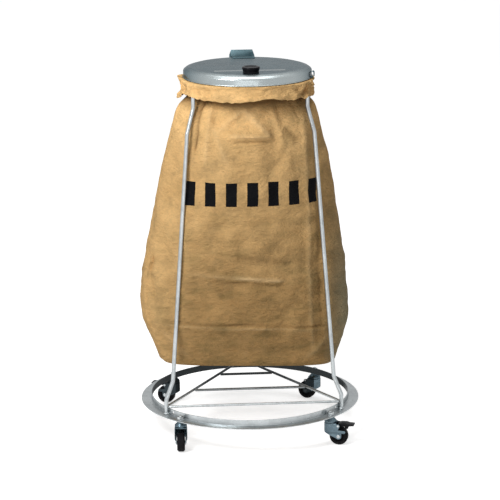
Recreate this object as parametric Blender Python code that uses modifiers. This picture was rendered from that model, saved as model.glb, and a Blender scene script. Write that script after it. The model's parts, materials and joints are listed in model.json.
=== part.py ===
"""Wheeled holder for a large paper waste sack, as separate solids.

A round rod tripod stands on an angle-steel base ring with four swivel castors.
The sack's mouth is folded outwards over the top ring, and a hinged sheet lid
rests on it. Metres, +Z up, front at -Y, origin on the floor below the rings.
"""

import math

import bpy
import bmesh
from mathutils import Matrix, Vector

# Clearance left between two pieces that touch
GAP = 0.0003

# Castor wheels and their axles
WHEEL_RADIUS = 0.025
WHEEL_SIDES = 14
TYRE_WIDTH = 0.021
TYRE_DEPTH = 0.0070
HUB_WIDTH = 0.0224
AXLE_RADIUS = 0.003
AXLE_HEAD_RADIUS = 0.0052
AXLE_HEAD_LENGTH = 0.0022
CASTOR_TRAIL = 0.023

# Castor forks
FORK_SHEET = 0.0015
FORK_HALF_WIDTH = 0.017
FORK_HEADROOM = 0.0105
FORK_EAR_RADIUS = 0.0080
FORK_ARM_LENGTH = 0.0200
FORK_ARM_HEIGHT = 0.0085
FORK_ARM_RISE = 0.017
FORK_MOUTH_RISE = 0.0125
FORK_BEND_RISE = 0.015
FORK_BEND_LENGTH = 0.009
PIVOT_BEHIND_CROWN = 0.0055
PIVOT_BELOW_CROWN = 0.0052
PIVOT_EAR_RADIUS = 0.0045
PIVOT_RADIUS = 0.0017

# Ball races, studs, washers and nuts
RACE_RADIUS = 0.0165
RACE_HEIGHT = 0.0154
STUD_RADIUS = 0.005
STUD_HEAD_RADIUS = 0.0085
STUD_HEAD_LENGTH = 0.003
STUD_END = 0.003
WASHER_RADIUS = 0.0105
WASHER_THICKNESS = 0.0015
NUT_WIDTH = 0.016
NUT_HEIGHT = 0.007

# Brake levers
LEVER_WIDTH = 0.024
LEVER_REACH = 0.065
LEVER_HUB_RADIUS = 0.0035
LEVER_SHOE_REACH = 0.022
LEVER_SHOE_RISE = 0.023

# Base ring of angle steel
RING_RADIUS = 0.300
RING_FLANGE = 0.030
RING_WALL = 0.018
RING_THICKNESS = 0.0025
RING_SIDES = 48
VENT_RADIUS = 0.0035
VENT_SPACING = 0.022

# Tripod legs, given by radius and height
LEG_RADIUS = 0.0055
LEG_ANGLES = {"left": -58.5, "right": 58.5, "rear": 180.0}
LEG_FOOT_HEIGHT = 0.039
LEG_FOOT_INSET = 0.0225
LEG_FOOT_BEND = 0.048
LEG_NECK_OFFSET = 0.0205
LEG_NECK_DROP = 0.128
LEG_TOP_DROP = 0.061
LEG_BEND_RADIUS = 0.020

# Grid of rods that joins the feet
GRID_ROD_RADIUS = 0.0035
GRID_CROSS_RODS = 2

# Top ring that carries the sack
TOP_RING_RADIUS = 0.1655
TOP_RING_ROD = 0.006
TOP_RING_HEIGHT = 0.8844

# Sack of kraft paper
SACK_SHEET = 0.001
SACK_SIDES = 36
SACK_BODY_ROWS = 10
SACK_FLOOR_GAP = 0.102
SACK_SHOULDER_HALF = 0.1965
SACK_WAIST_HALF = 0.2455
SACK_BELLY_HALF = 0.2845
SACK_FOOT_HALF = 0.250
SACK_HALF_DEPTH = 0.158
SACK_FOOT_HALF_DEPTH = 0.110
SACK_LEAN = 0.013
SACK_TILT = 0.032
SACK_LEG_GAP = 0.0045
SACK_FOLDS = 9
SACK_FOLD_DEPTH = 0.022
CUFF_LENGTH = 0.0425
CUFF_WAVE = 0.005
CUFF_SLACK = 0.0045
CUFF_OVER_LEG = 0.0022
CUFF_SLOT_HALF = 0.041
CUFF_BULGE = 0.012
CUFF_BULGE_RISE = 0.006
CUFF_BULGE_ANGLE = -90.0
CUFF_BULGE_SPAN = 26.0

# Lid, which overhangs the top ring's centre line
LID_OVERHANG = 0.0067
LID_DEPTH = 0.0285
LID_SHEET = 0.0010
LID_SHOULDER = 0.020
LID_SHOULDER_DROP = 0.009
LID_SKIRT_ROUND = 0.003
LID_BEAD = 0.0018
LID_SIDES = 36
RIB_LENGTH = 0.200
RIB_WIDTH = 0.013
RIB_FORWARD = 0.080
RIB_HEIGHT = 0.003
RIB_CREST = 0.35

# Knob and its screw
KNOB_RADIUS = 0.0240
KNOB_HEIGHT = 0.0170
KNOB_FORWARD = 0.121
KNOB_SCREW_RADIUS = 0.0025
KNOB_SCREW_DEPTH = 0.010
KNOB_SCREW_HEAD = 0.0048

# Hinge at the back of the lid
HINGE_BEHIND = 0.0168
HINGE_RAISE = 0.016
HINGE_PIN_RADIUS = 0.0025
HINGE_PIN_HEAD = 0.0042
LEAF_SHEET = 0.0015
LEAF_HALF_WIDTH = 0.0305
LEAF_ON_LID = 0.026
BRACKET_SHEET = 0.0015
BRACKET_HALF_WIDTH = 0.0347
BRACKET_TOP_HALF = 0.0294
BRACKET_RISE = 0.0245
BRACKET_DEPTH = 0.0145
BRACKET_DROP = 0.034
CHEEK_RISE = 0.0085
RIVET_RADIUS = 0.0022
RIVET_HEAD = 0.0042
RIVET_SPREAD = 0.019

# Catch on the lid's right side
CATCH_FACET = 7.5
CATCH_WIDTH = 0.015
CATCH_SHEET = 0.0012
CATCH_REACH = 0.0090

# How far a cutter reaches past what it cuts
CUTTER_REACH = 0.010

# Castors: place round the ring, direction in which the wheel trails, brake
CASTORS = (
    ("front_left", -45.0, -93.0, False),
    ("front_right", 45.0, -16.0, True),
    ("rear_right", 135.0, 152.0, False),
    ("rear_left", -135.0, 158.0, True),
)

# Heights that follow from the sizes above
AXLE_Z = WHEEL_RADIUS
CROWN_UNDER_Z = 2.0 * WHEEL_RADIUS + FORK_HEADROOM
CROWN_TOP_Z = CROWN_UNDER_Z + FORK_SHEET
RACE_TOP_Z = CROWN_TOP_Z + GAP + RACE_HEIGHT
FLANGE_UNDER_Z = RACE_TOP_Z + GAP
FLANGE_TOP_Z = FLANGE_UNDER_Z + RING_THICKNESS
WALL_TOP_Z = FLANGE_UNDER_Z + RING_WALL
WALL_INNER = RING_RADIUS - RING_FLANGE
WALL_OUTER = WALL_INNER + RING_THICKNESS
CASTOR_CIRCLE = (WALL_OUTER + RING_RADIUS) / 2.0 - 0.001
LEG_FOOT_RADIUS = WALL_OUTER + GAP + LEG_RADIUS
LEG_TOP_RADIUS = TOP_RING_RADIUS + TOP_RING_ROD + GAP + LEG_RADIUS
TOP_RING_Z = FLANGE_TOP_Z + TOP_RING_HEIGHT
ARM_Z = WALL_TOP_Z + GAP + GRID_ROD_RADIUS
PAPER_TOP_Z = TOP_RING_Z + TOP_RING_ROD + GAP + SACK_SHEET
LID_RIM_Z = PAPER_TOP_Z + GAP
LID_TOP_Z = LID_RIM_Z + LID_DEPTH
LID_RADIUS = TOP_RING_RADIUS + LID_OVERHANG
HINGE_Y = LID_RADIUS + HINGE_BEHIND
HINGE_Z = LID_RIM_Z + HINGE_RAISE
SACK_FLOOR_Z = ARM_Z + GRID_ROD_RADIUS + SACK_FLOOR_GAP
PIVOT_X = FORK_HALF_WIDTH + PIVOT_BEHIND_CROWN
PIVOT_Z = CROWN_UNDER_Z - PIVOT_BELOW_CROWN
CUFF_OUTSIDE = LEG_TOP_RADIUS + LEG_RADIUS + CUFF_OVER_LEG


# Scene and materials


def clear_scene():
    """Remove every object that the scene starts with."""
    for item in list(bpy.data.objects):
        bpy.data.objects.remove(item, do_unlink=True)


def make_collection(name):
    """Return a new collection linked to the scene."""
    group = bpy.data.collections.new(name)
    bpy.context.scene.collection.children.link(group)
    return group


def make_material(name, colour, roughness, metallic):
    """Return a Principled material with one colour."""
    mat = bpy.data.materials.new(name)
    mat.use_nodes = True
    shader = mat.node_tree.nodes["Principled BSDF"]
    shader.inputs["Base Color"].default_value = (*colour, 1.0)
    shader.inputs["Roughness"].default_value = roughness
    shader.inputs["Metallic"].default_value = metallic
    mat.diffuse_color = (*colour, 1.0)
    return mat


clear_scene()
PARTS = make_collection("bin_bag_holder")
CUTTERS = make_collection("cutters")
ZINC = make_material("galvanised_steel", (0.62, 0.66, 0.67), 0.42, 0.9)
LID_STEEL = make_material("lid_steel", (0.36, 0.42, 0.46), 0.40, 0.9)
BLUE_ZINC = make_material("blue_zinc", (0.42, 0.52, 0.60), 0.35, 0.9)
PAPER = make_material("kraft_paper", (0.60, 0.38, 0.17), 0.85, 0.0)
RUBBER = make_material("black_rubber", (0.015, 0.015, 0.016), 0.60, 0.0)
PLASTIC = make_material("black_plastic", (0.02, 0.02, 0.02), 0.40, 0.0)


# Building blocks


def around(radius, angle, z):
    """Return the point at an angle in degrees from the front, positive to the right."""
    turn = math.radians(angle)
    return Vector((radius * math.sin(turn), -radius * math.cos(turn), z))


def arc(centre, radius, start, stop, steps):
    """Return points of an arc in a plane, from start to stop degrees."""
    points = []
    for index in range(steps + 1):
        turn = math.radians(start + (stop - start) * index / steps)
        points.append((centre[0] + radius * math.cos(turn), centre[1] + radius * math.sin(turn)))
    return points


def add_object(name, mesh, mat, parent=None, group=None):
    """Link a new object with a mesh and its material."""
    item = bpy.data.objects.new(name, mesh)
    (group or PARTS).objects.link(item)
    if mat is not None and not mesh.materials:
        mesh.materials.append(mat)
    item.parent = parent
    return item


def mesh_from_bmesh(name, shape):
    """Return a mesh written from a bmesh, with its normals facing out."""
    bmesh.ops.recalc_face_normals(shape, faces=shape.faces[:])
    mesh = bpy.data.meshes.new(name)
    shape.to_mesh(mesh)
    shape.free()
    return mesh


def evaluated_mesh(item):
    """Return a new mesh of an object with its modifiers applied."""
    bpy.context.view_layer.update()
    depsgraph = bpy.context.evaluated_depsgraph_get()
    return bpy.data.meshes.new_from_object(item.evaluated_get(depsgraph))


def smooth(mesh, angle=35.0):
    """Shade a mesh smooth, with sharp edges above an angle."""
    mesh.shade_smooth()
    mesh.set_sharp_from_angle(angle=math.radians(angle))


def turned(name, profile, sides, mat, parent=None, group=None):
    """Turn a profile of radius and height pairs about Z."""
    mesh = bpy.data.meshes.new(name)
    edges = [(index, index + 1) for index in range(len(profile) - 1)]
    if profile[0][0] > 0.0 and profile[-1][0] > 0.0:
        edges.append((len(profile) - 1, 0))
    mesh.from_pydata([(radius, 0.0, z) for radius, z in profile], edges, [])
    item = add_object(name, mesh, mat, parent, group)
    turn = item.modifiers.new("Turn", "SCREW")
    turn.angle = math.tau
    turn.steps = sides
    turn.render_steps = sides
    turn.use_merge_vertices = True
    turn.merge_threshold = 0.00001
    return item


def turned_mesh(name, profile, sides):
    """Return the mesh of a turned profile."""
    item = turned(name, profile, sides, None)
    mesh = evaluated_mesh(item)
    bpy.data.objects.remove(item, do_unlink=True)
    smooth(mesh)
    return mesh


def prism_mesh(name, outlines, thickness):
    """Return a flat outline with holes, extruded evenly to both sides of Z = 0."""
    curve = bpy.data.curves.new(name, "CURVE")
    curve.dimensions = "2D"
    curve.fill_mode = "BOTH"
    curve.extrude = thickness / 2.0
    for outline in outlines:
        spline = curve.splines.new("POLY")
        spline.points.add(len(outline) - 1)
        for point, (x, y) in zip(spline.points, outline):
            point.co = (x, y, 0.0, 1.0)
        spline.use_cyclic_u = True
    item = bpy.data.objects.new(name, curve)
    PARTS.objects.link(item)
    mesh = evaluated_mesh(item)
    bpy.data.objects.remove(item, do_unlink=True)
    shape = bmesh.new()
    shape.from_mesh(mesh)
    bmesh.ops.remove_doubles(shape, verts=shape.verts[:], dist=0.000001)
    return mesh_from_bmesh(name, shape)


def side_prism_mesh(name, outlines, thickness):
    """Return an outline drawn in X and Z, extruded evenly along Y."""
    mesh = prism_mesh(name, outlines, thickness)
    mesh.transform(Matrix.Rotation(math.radians(90.0), 4, "X"))
    return mesh


def rod(name, points, radius, mat, resolution=2):
    """Return a round rod along points, with flat ends."""
    curve = bpy.data.curves.new(name, "CURVE")
    curve.dimensions = "3D"
    curve.bevel_depth = radius
    curve.bevel_resolution = resolution
    curve.use_fill_caps = True
    spline = curve.splines.new("POLY")
    spline.points.add(len(points) - 1)
    for point, place in zip(spline.points, points):
        point.co = (*place, 1.0)
    item = bpy.data.objects.new(name, curve)
    PARTS.objects.link(item)
    curve.materials.append(mat)
    spline.use_smooth = True
    return item


def cylinder(name, radius, length, sides, group=None):
    """Return a cylinder along Z, centred on its origin, for cutting."""
    shape = bmesh.new()
    bmesh.ops.create_cone(
        shape, cap_ends=True, segments=sides, radius1=radius, radius2=radius, depth=length)
    return add_object(name, mesh_from_bmesh(name, shape), None, None, group or CUTTERS)


def box(name, size, group=None):
    """Return a box centred on its origin, for cutting."""
    shape = bmesh.new()
    bmesh.ops.create_cube(shape, size=1.0)
    mesh = mesh_from_bmesh(name, shape)
    mesh.transform(Matrix.Diagonal((*size, 1.0)))
    return add_object(name, mesh, None, None, group or CUTTERS)


def hide_cutter(cutter):
    """Show a cutter as wires and keep it out of renders."""
    cutter.hide_render = True
    cutter.display_type = "WIRE"


def combine(item, other, operation="DIFFERENCE"):
    """Add a Boolean with another object, which becomes a cutter."""
    hide_cutter(other)
    step = item.modifiers.new(other.name, "BOOLEAN")
    step.operation = operation
    step.solver = "EXACT"
    step.object = other
    return step


def baked(item, angle=35.0):
    """Return an object's finished mesh, and remove the object with its cutters."""
    mesh = evaluated_mesh(item)
    tools = [step.object for step in item.modifiers if step.type == "BOOLEAN"]
    for used in [item, *tools]:
        bpy.data.objects.remove(used, do_unlink=True)
    mesh.name = mesh.name.split(".")[0]
    smooth(mesh, angle)
    return mesh


# Castors


def tyre_mesh():
    """Return a rubber tyre with rounded shoulders, its flats at the wheel's radius."""
    outer = WHEEL_RADIUS / math.cos(math.pi / WHEEL_SIDES)
    inner = WHEEL_RADIUS - TYRE_DEPTH
    half = TYRE_WIDTH / 2.0
    return turned_mesh("tyre", [
        (inner, half), (outer - 0.0035, half), (outer, half * 0.60),
        (outer, -half * 0.60), (outer - 0.0035, -half), (inner, -half),
    ], WHEEL_SIDES)


def hub_mesh():
    """Return a wheel core with a thick hub, a thin web and a rim."""
    rim = (WHEEL_RADIUS - TYRE_DEPTH) * math.cos(math.pi / WHEEL_SIDES) - GAP
    bore = AXLE_RADIUS + 2.0 * GAP
    half = HUB_WIDTH / 2.0
    rim_half = TYRE_WIDTH / 2.0 * 0.9
    web_half = half * 0.5
    boss = bore + 0.0032
    return turned_mesh("hub", [
        (bore, half), (boss, half), (boss + 0.0008, web_half), (rim, rim_half),
        (rim, -rim_half), (boss + 0.0008, -web_half), (boss, -half), (bore, -half),
    ], WHEEL_SIDES)


def fork_leg_outline():
    """Return the fork seen from the side: crown, pivot ear, rear arm and axle ear."""
    axle = (CASTOR_TRAIL, AXLE_Z)
    pivot = (PIVOT_X, PIVOT_Z)
    front = -FORK_HALF_WIDTH - CUTTER_REACH
    arm_top = AXLE_Z + FORK_ARM_RISE
    arm_end = CASTOR_TRAIL + FORK_ARM_LENGTH
    ear = FORK_EAR_RADIUS
    over = CROWN_TOP_Z + CUTTER_REACH
    outline = [(front, over), (FORK_HALF_WIDTH, over)]
    outline.append((FORK_HALF_WIDTH, pivot[1] + PIVOT_EAR_RADIUS))
    outline += arc(pivot, PIVOT_EAR_RADIUS, 80.0, -30.0, 2)
    outline.append((CASTOR_TRAIL - 0.001, arm_top + 0.0015))
    outline.append((arm_end - 0.0025, arm_top))
    outline.append((arm_end, arm_top - 0.003))
    outline.append((arm_end - 0.003, arm_top - FORK_ARM_HEIGHT))
    outline.append((CASTOR_TRAIL + ear, arm_top - FORK_ARM_HEIGHT))
    outline += arc(axle, ear, 0.0, -135.0, 3)
    mouth = AXLE_Z + FORK_MOUTH_RISE
    outline.append((-FORK_HALF_WIDTH + 0.003, mouth - 0.0035))
    outline.append((-FORK_HALF_WIDTH - 0.002, mouth))
    outline.append((front, mouth))
    return outline


def fork_plan_outline(half_width, rear):
    """Return the fork's plan, round in front and open behind."""
    nose = arc((0.0, 0.0), half_width, 90.0, 270.0, 6)
    return [(rear, half_width), *nose, (rear, -half_width)]


def fork_mesh():
    """Return the pressed fork: a hood round the front with two legs drawn in at the hub."""
    rear = CASTOR_TRAIL + FORK_ARM_LENGTH + 0.005
    inner_half = FORK_HALF_WIDTH - FORK_SHEET
    blank = add_object("fork", prism_mesh(
        "fork", [fork_plan_outline(FORK_HALF_WIDTH, rear)], CROWN_TOP_Z), None)
    blank.location.z = CROWN_TOP_Z / 2.0
    hollow = add_object("fork_hollow", prism_mesh(
        "fork_hollow", [fork_plan_outline(inner_half, rear + CUTTER_REACH)],
        CROWN_UNDER_Z + CUTTER_REACH), None)
    hollow.location.z = (CROWN_UNDER_Z - CUTTER_REACH) / 2.0
    combine(blank, hollow)
    side = add_object("fork_side", side_prism_mesh(
        "fork_side", [fork_leg_outline()], 4.0 * FORK_HALF_WIDTH), None)
    combine(blank, side, "INTERSECT")
    mesh = baked(blank)
    mesh.transform(Matrix.Translation((0.0, 0.0, CROWN_TOP_Z / 2.0)))

    # The legs are drawn in between two bend lines
    bend_top = AXLE_Z + FORK_BEND_RISE
    bend_low = bend_top - FORK_BEND_LENGTH
    narrow = (HUB_WIDTH / 2.0 + 2.0 * GAP) / inner_half
    shape = bmesh.new()
    shape.from_mesh(mesh)
    for level in (bend_top, bend_low):
        everything = shape.verts[:] + shape.edges[:] + shape.faces[:]
        bmesh.ops.bisect_plane(
            shape, geom=everything, dist=0.000001, plane_co=(0.0, 0.0, level), plane_no=(0.0, 0.0, 1.0))
    for vert in shape.verts:
        share = (bend_top - vert.co.z) / (bend_top - bend_low)
        vert.co.y *= 1.0 + (narrow - 1.0) * min(max(share, 0.0), 1.0)
    drawn = add_object("fork", mesh_from_bmesh("fork", shape), None)

    # Holes for the stud, the axle and the lever's pin
    stud_hole = cylinder("fork_stud_hole", STUD_RADIUS + 2.0 * GAP, 2.0 * CUTTER_REACH, 10)
    stud_hole.location.z = CROWN_TOP_Z
    combine(drawn, stud_hole)
    for name, x, z, radius in (
            ("fork_axle_hole", CASTOR_TRAIL, AXLE_Z, AXLE_RADIUS),
            ("fork_pin_hole", PIVOT_X, PIVOT_Z, PIVOT_RADIUS)):
        hole = cylinder(name, radius + 2.0 * GAP, 4.0 * FORK_HALF_WIDTH, 6)
        hole.location = (x, 0.0, z)
        hole.rotation_euler.x = math.radians(90.0)
        combine(drawn, hole)
    return baked(drawn)


def axle_mesh():
    """Return the riveted axle with a head outside each leg."""
    narrow = (HUB_WIDTH / 2.0 + 2.0 * GAP) / (FORK_HALF_WIDTH - FORK_SHEET)
    leg = FORK_HALF_WIDTH * narrow + GAP
    end = leg + AXLE_HEAD_LENGTH
    head = AXLE_HEAD_RADIUS
    return turned_mesh("axle", [
        (0.0, end), (head * 0.7, end), (head, leg), (AXLE_RADIUS, leg),
        (AXLE_RADIUS, -leg), (head, -leg), (head * 0.7, -end), (0.0, -end),
    ], 8)


def stud_mesh():
    """Return the stud that hangs the fork from the ring, with its head under the crown."""
    head_top = CROWN_UNDER_Z - GAP
    end = FLANGE_TOP_Z + 2.0 * GAP + WASHER_THICKNESS + NUT_HEIGHT + STUD_END
    radius = STUD_RADIUS
    return turned_mesh("stud", [
        (0.0, end), (radius - 0.0008, end), (radius, end - 0.0008), (radius, head_top),
        (STUD_HEAD_RADIUS, head_top), (STUD_HEAD_RADIUS, head_top - STUD_HEAD_LENGTH),
        (0.0, head_top - STUD_HEAD_LENGTH),
    ], 8)


def race_mesh():
    """Return the domed ball race between the fork and the ring."""
    low = CROWN_TOP_Z + GAP
    bore = STUD_RADIUS + GAP
    neck = RACE_RADIUS * 0.56
    return turned_mesh("race", [
        (bore, RACE_TOP_Z), (neck, RACE_TOP_Z), (neck * 1.15, RACE_TOP_Z - RACE_HEIGHT * 0.3),
        (RACE_RADIUS, low + RACE_HEIGHT * 0.24), (RACE_RADIUS, low), (bore, low),
    ], 10)


def nut_mesh():
    """Return a hexagon nut, drawn about its own centre."""
    corner = NUT_WIDTH / 2.0 / math.cos(math.pi / 6.0)
    hexagon = arc((0.0, 0.0), corner, 0.0, 300.0, 5)
    bore = arc((0.0, 0.0), STUD_RADIUS + 2.0 * GAP, 0.0, 324.0, 9)
    return prism_mesh("nut", [hexagon, bore], NUT_HEIGHT)


def washer_mesh():
    """Return a flat washer, drawn about its own centre."""
    rim = arc((0.0, 0.0), WASHER_RADIUS, 0.0, 330.0, 11)
    bore = arc((0.0, 0.0), STUD_RADIUS + 2.0 * GAP, 0.0, 324.0, 9)
    return prism_mesh("washer", [rim, bore], WASHER_THICKNESS)


def lever_mesh():
    """Return a brake pedal: hub at the pivot, shoe over the tyre and a toe plate."""
    x, z = PIVOT_X, PIVOT_Z
    tip = LEVER_REACH
    shoe_x = CASTOR_TRAIL + LEVER_SHOE_REACH
    shoe_z = AXLE_Z + LEVER_SHOE_RISE
    outline = arc((x, z), LEVER_HUB_RADIUS, 110.0, 280.0, 5)
    outline += [
        (x + 0.0075, z - 0.0020), (shoe_x - 0.005, z - 0.0022), (shoe_x, shoe_z),
        (shoe_x + 0.004, shoe_z), (shoe_x + 0.006, z - 0.0005), (tip - 0.001, z + 0.0008),
        (tip, z + 0.0022), (tip - 0.001, z + 0.0038), (shoe_x + 0.007, z + 0.0043),
        (shoe_x - 0.001, z + 0.0068), (x + 0.0065, z + 0.0068),
    ]
    lever = add_object("lever", side_prism_mesh("lever", [outline], LEVER_WIDTH), None)
    hole = cylinder("lever_pin_hole", PIVOT_RADIUS + 2.0 * GAP, 2.0 * LEVER_WIDTH, 6)
    hole.location = (x, 0.0, z)
    hole.rotation_euler.x = math.radians(90.0)
    combine(lever, hole)
    mesh = baked(lever)
    mesh.transform(Matrix.Translation((-x, 0.0, -z)))
    return mesh


def lever_pin_mesh():
    """Return the lever's rivet, headed outside the fork."""
    leg = FORK_HALF_WIDTH + GAP
    end = leg + 0.0012
    head = PIVOT_RADIUS * 1.9
    return turned_mesh("lever_pin", [
        (0.0, end), (head, end), (head, leg), (PIVOT_RADIUS, leg),
        (PIVOT_RADIUS, -leg), (head, -leg), (head, -end), (0.0, -end),
    ], 8)


def add_castors():
    """Place four castors, each about an empty that stands on its swivel axis."""
    tyre = tyre_mesh()
    hub = hub_mesh()
    fork = fork_mesh()
    axle = axle_mesh()
    stud = stud_mesh()
    race = race_mesh()
    nut = nut_mesh()
    washer = washer_mesh()
    lever = lever_mesh()
    pin = lever_pin_mesh()
    for name, place, heading, braked in CASTORS:
        prefix = f"castor_{name}_"
        centre = around(CASTOR_CIRCLE, place, 0.0)
        fixed = bpy.data.objects.new(prefix + "seat", None)
        swivel = bpy.data.objects.new(prefix + "swivel", None)
        for empty in (fixed, swivel):
            PARTS.objects.link(empty)
            empty.location = centre
            empty.empty_display_size = 0.02
        fixed.rotation_euler.z = math.radians(place)
        swivel.rotation_euler.z = math.radians(heading)
        add_object(prefix + "stud", stud, ZINC, fixed)
        add_object(prefix + "race", race, BLUE_ZINC, fixed)
        seat_z = FLANGE_TOP_Z + GAP
        ring_washer = add_object(prefix + "washer", washer, ZINC, fixed)
        ring_washer.location.z = seat_z + WASHER_THICKNESS / 2.0
        ring_nut = add_object(prefix + "nut", nut, ZINC, fixed)
        ring_nut.location.z = seat_z + WASHER_THICKNESS + GAP + NUT_HEIGHT / 2.0
        add_object(prefix + "fork", fork, BLUE_ZINC, swivel)
        for part, mesh, mat in (("axle", axle, ZINC), ("hub", hub, PLASTIC), ("tyre", tyre, RUBBER)):
            wheel = add_object(prefix + part, mesh, mat, swivel)
            wheel.location = (CASTOR_TRAIL, 0.0, AXLE_Z)
            wheel.rotation_euler.x = math.radians(90.0)
        if braked:
            pedal = add_object(prefix + "brake_lever", lever, PLASTIC, swivel)
            pedal.location = (PIVOT_X, 0.0, PIVOT_Z)
            rivet = add_object(prefix + "lever_pin", pin, ZINC, swivel)
            rivet.location = (PIVOT_X, 0.0, PIVOT_Z)
            rivet.rotation_euler.x = math.radians(90.0)


# Base ring, legs and rods


def add_base_ring():
    """Turn the angle-steel ring and drill it for the studs and the vents beside the legs."""
    ring = turned("base_ring", [
        (WALL_INNER, WALL_TOP_Z), (WALL_OUTER, WALL_TOP_Z), (WALL_OUTER, FLANGE_TOP_Z),
        (RING_RADIUS, FLANGE_TOP_Z), (RING_RADIUS, FLANGE_UNDER_Z), (WALL_INNER, FLANGE_UNDER_Z),
    ], RING_SIDES, ZINC)
    for name, place, _heading, _braked in CASTORS:
        hole = cylinder(f"ring_hole_{name}", STUD_RADIUS + 2.0 * GAP, 4.0 * RING_THICKNESS, 10)
        hole.location = around(CASTOR_CIRCLE, place, FLANGE_TOP_Z - RING_THICKNESS / 2.0)
        combine(ring, hole)
    step = math.degrees(VENT_SPACING / WALL_OUTER)
    for name, place in LEG_ANGLES.items():
        for side in (-1.0, 1.0):
            vent = cylinder(f"vent_{name}_{int(side)}", VENT_RADIUS, 6.0 * RING_THICKNESS, 8)
            middle = (FLANGE_TOP_Z + WALL_TOP_Z) / 2.0
            vent.location = around((WALL_INNER + WALL_OUTER) / 2.0, place + side * step, middle)
            vent.rotation_euler = (math.radians(90.0), 0.0, math.radians(place + side * step))
            combine(ring, vent)


def leg_corners():
    """Return a leg's corners as radius and height, from the flange up to the top ring."""
    top = TOP_RING_Z + TOP_RING_ROD * 0.1
    foot = FLANGE_TOP_Z + GAP
    return [
        (LEG_FOOT_RADIUS, foot),
        (LEG_FOOT_RADIUS, foot + LEG_FOOT_HEIGHT),
        (LEG_FOOT_RADIUS - LEG_FOOT_INSET, foot + LEG_FOOT_HEIGHT + LEG_FOOT_BEND),
        (LEG_TOP_RADIUS + LEG_NECK_OFFSET, top - LEG_NECK_DROP),
        (LEG_TOP_RADIUS, top - LEG_TOP_DROP),
        (LEG_TOP_RADIUS, top),
    ]


def rounded(corners, radius, steps):
    """Return a path with its corners rounded by arcs."""
    path = [Vector(corners[0])]
    for before, corner, after in zip(corners, corners[1:], corners[2:]):
        corner = Vector(corner)
        back = (Vector(before) - corner).normalized()
        ahead = (Vector(after) - corner).normalized()
        half_angle = math.acos(max(-1.0, min(1.0, back.dot(ahead)))) / 2.0
        reach = radius / math.tan(half_angle)
        middle = corner + (back + ahead).normalized() * (radius / math.sin(half_angle))
        start = corner + back * reach - middle
        stop = corner + ahead * reach - middle
        for index in range(steps + 1):
            path.append(middle + start.slerp(stop, index / steps) * radius)
    path.append(Vector(corners[-1]))
    return path


def add_legs():
    """Add three bent legs that stand on the flange outside the wall."""
    path = rounded(leg_corners(), LEG_BEND_RADIUS, 1)
    for name, place in LEG_ANGLES.items():
        rod(f"leg_{name}", [around(radius, place, z) for radius, z in path], LEG_RADIUS, ZINC)


def add_grid():
    """Add the triangle of rods between the feet and the cross rods between its arms."""
    feet = {name: around(LEG_FOOT_RADIUS, place, ARM_Z) for name, place in LEG_ANGLES.items()}
    radius = GRID_ROD_RADIUS

    # Each rod ends clear of the leg and of the rod that meets it there
    for name, ends in (
            ("grid_rod_front", ("left", "right")), ("grid_arm_left", ("left", "rear")),
            ("grid_arm_right", ("right", "rear"))):
        start, stop = feet[ends[0]], feet[ends[1]]
        ahead = (stop - start).normalized()
        others = [feet[other] for other in feet if other not in ends]
        inset = []
        for here, there in ((start, stop), (stop, start)):
            corner = (there - here).angle(others[0] - here)
            inset.append(max(LEG_RADIUS, radius / math.tan(corner / 2.0)) + 2.0 * GAP)
        rod(name, [start + ahead * inset[0], stop - ahead * inset[1]], radius, ZINC)

    # The cross rods are butted between the arms at even steps
    slope = (feet["rear"] - feet["right"]).normalized()
    clear = (radius + GAP) / abs(slope.y) + radius * abs(slope.x / slope.y)
    for index in range(GRID_CROSS_RODS):
        share = (index + 1) / (GRID_CROSS_RODS + 1)
        middle = feet["right"].lerp(feet["rear"], share)
        half = middle.x - clear
        cross = [(-half, middle.y, ARM_Z), (half, middle.y, ARM_Z)]
        rod(f"grid_cross_rod_{index + 1}", cross, radius, ZINC)


def add_top_ring():
    """Add the round ring that the sack is folded over."""
    bpy.ops.mesh.primitive_torus_add(
        major_radius=TOP_RING_RADIUS, minor_radius=TOP_RING_ROD, major_segments=SACK_SIDES,
        minor_segments=6, location=(0.0, 0.0, TOP_RING_Z))
    ring = bpy.context.object
    ring.name = "top_ring"
    ring.data.name = "top_ring"
    for group in list(ring.users_collection):
        group.objects.unlink(ring)
    PARTS.objects.link(ring)
    ring.data.materials.append(ZINC)
    smooth(ring.data)


# Sack


def leg_radius_at(z):
    """Return the distance of a leg's centre line from the axis at a height."""
    corners = leg_corners()
    for (low_r, low_z), (high_r, high_z) in zip(corners, corners[1:]):
        if z <= high_z:
            share = max(0.0, (z - low_z) / (high_z - low_z))
            return low_r + (high_r - low_r) * share
    return corners[-1][0]


def spline_value(stations, share):
    """Return a smooth value through stations of share and value pairs."""
    last = len(stations) - 1
    for index in range(last):
        here, there = stations[index], stations[index + 1]
        if share <= there[0] or index == last - 1:
            before = stations[max(index - 1, 0)]
            after = stations[min(index + 2, last)]
            span = there[0] - here[0]
            slope_here = (there[1] - before[1]) / (there[0] - before[0]) * span
            slope_there = (after[1] - here[1]) / (after[0] - here[0]) * span
            t = min(max((share - here[0]) / span, 0.0), 1.0)
            return (here[1] * (2 * t ** 3 - 3 * t ** 2 + 1) + slope_here * (t ** 3 - 2 * t ** 2 + t)
                    + there[1] * (3 * t ** 2 - 2 * t ** 3) + slope_there * (t ** 3 - t ** 2))
    return stations[-1][1]


def ease(share):
    """Return a share from 0 to 1 with a soft start and end."""
    share = min(max(share, 0.0), 1.0)
    return share * share * (3.0 - 2.0 * share)


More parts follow.
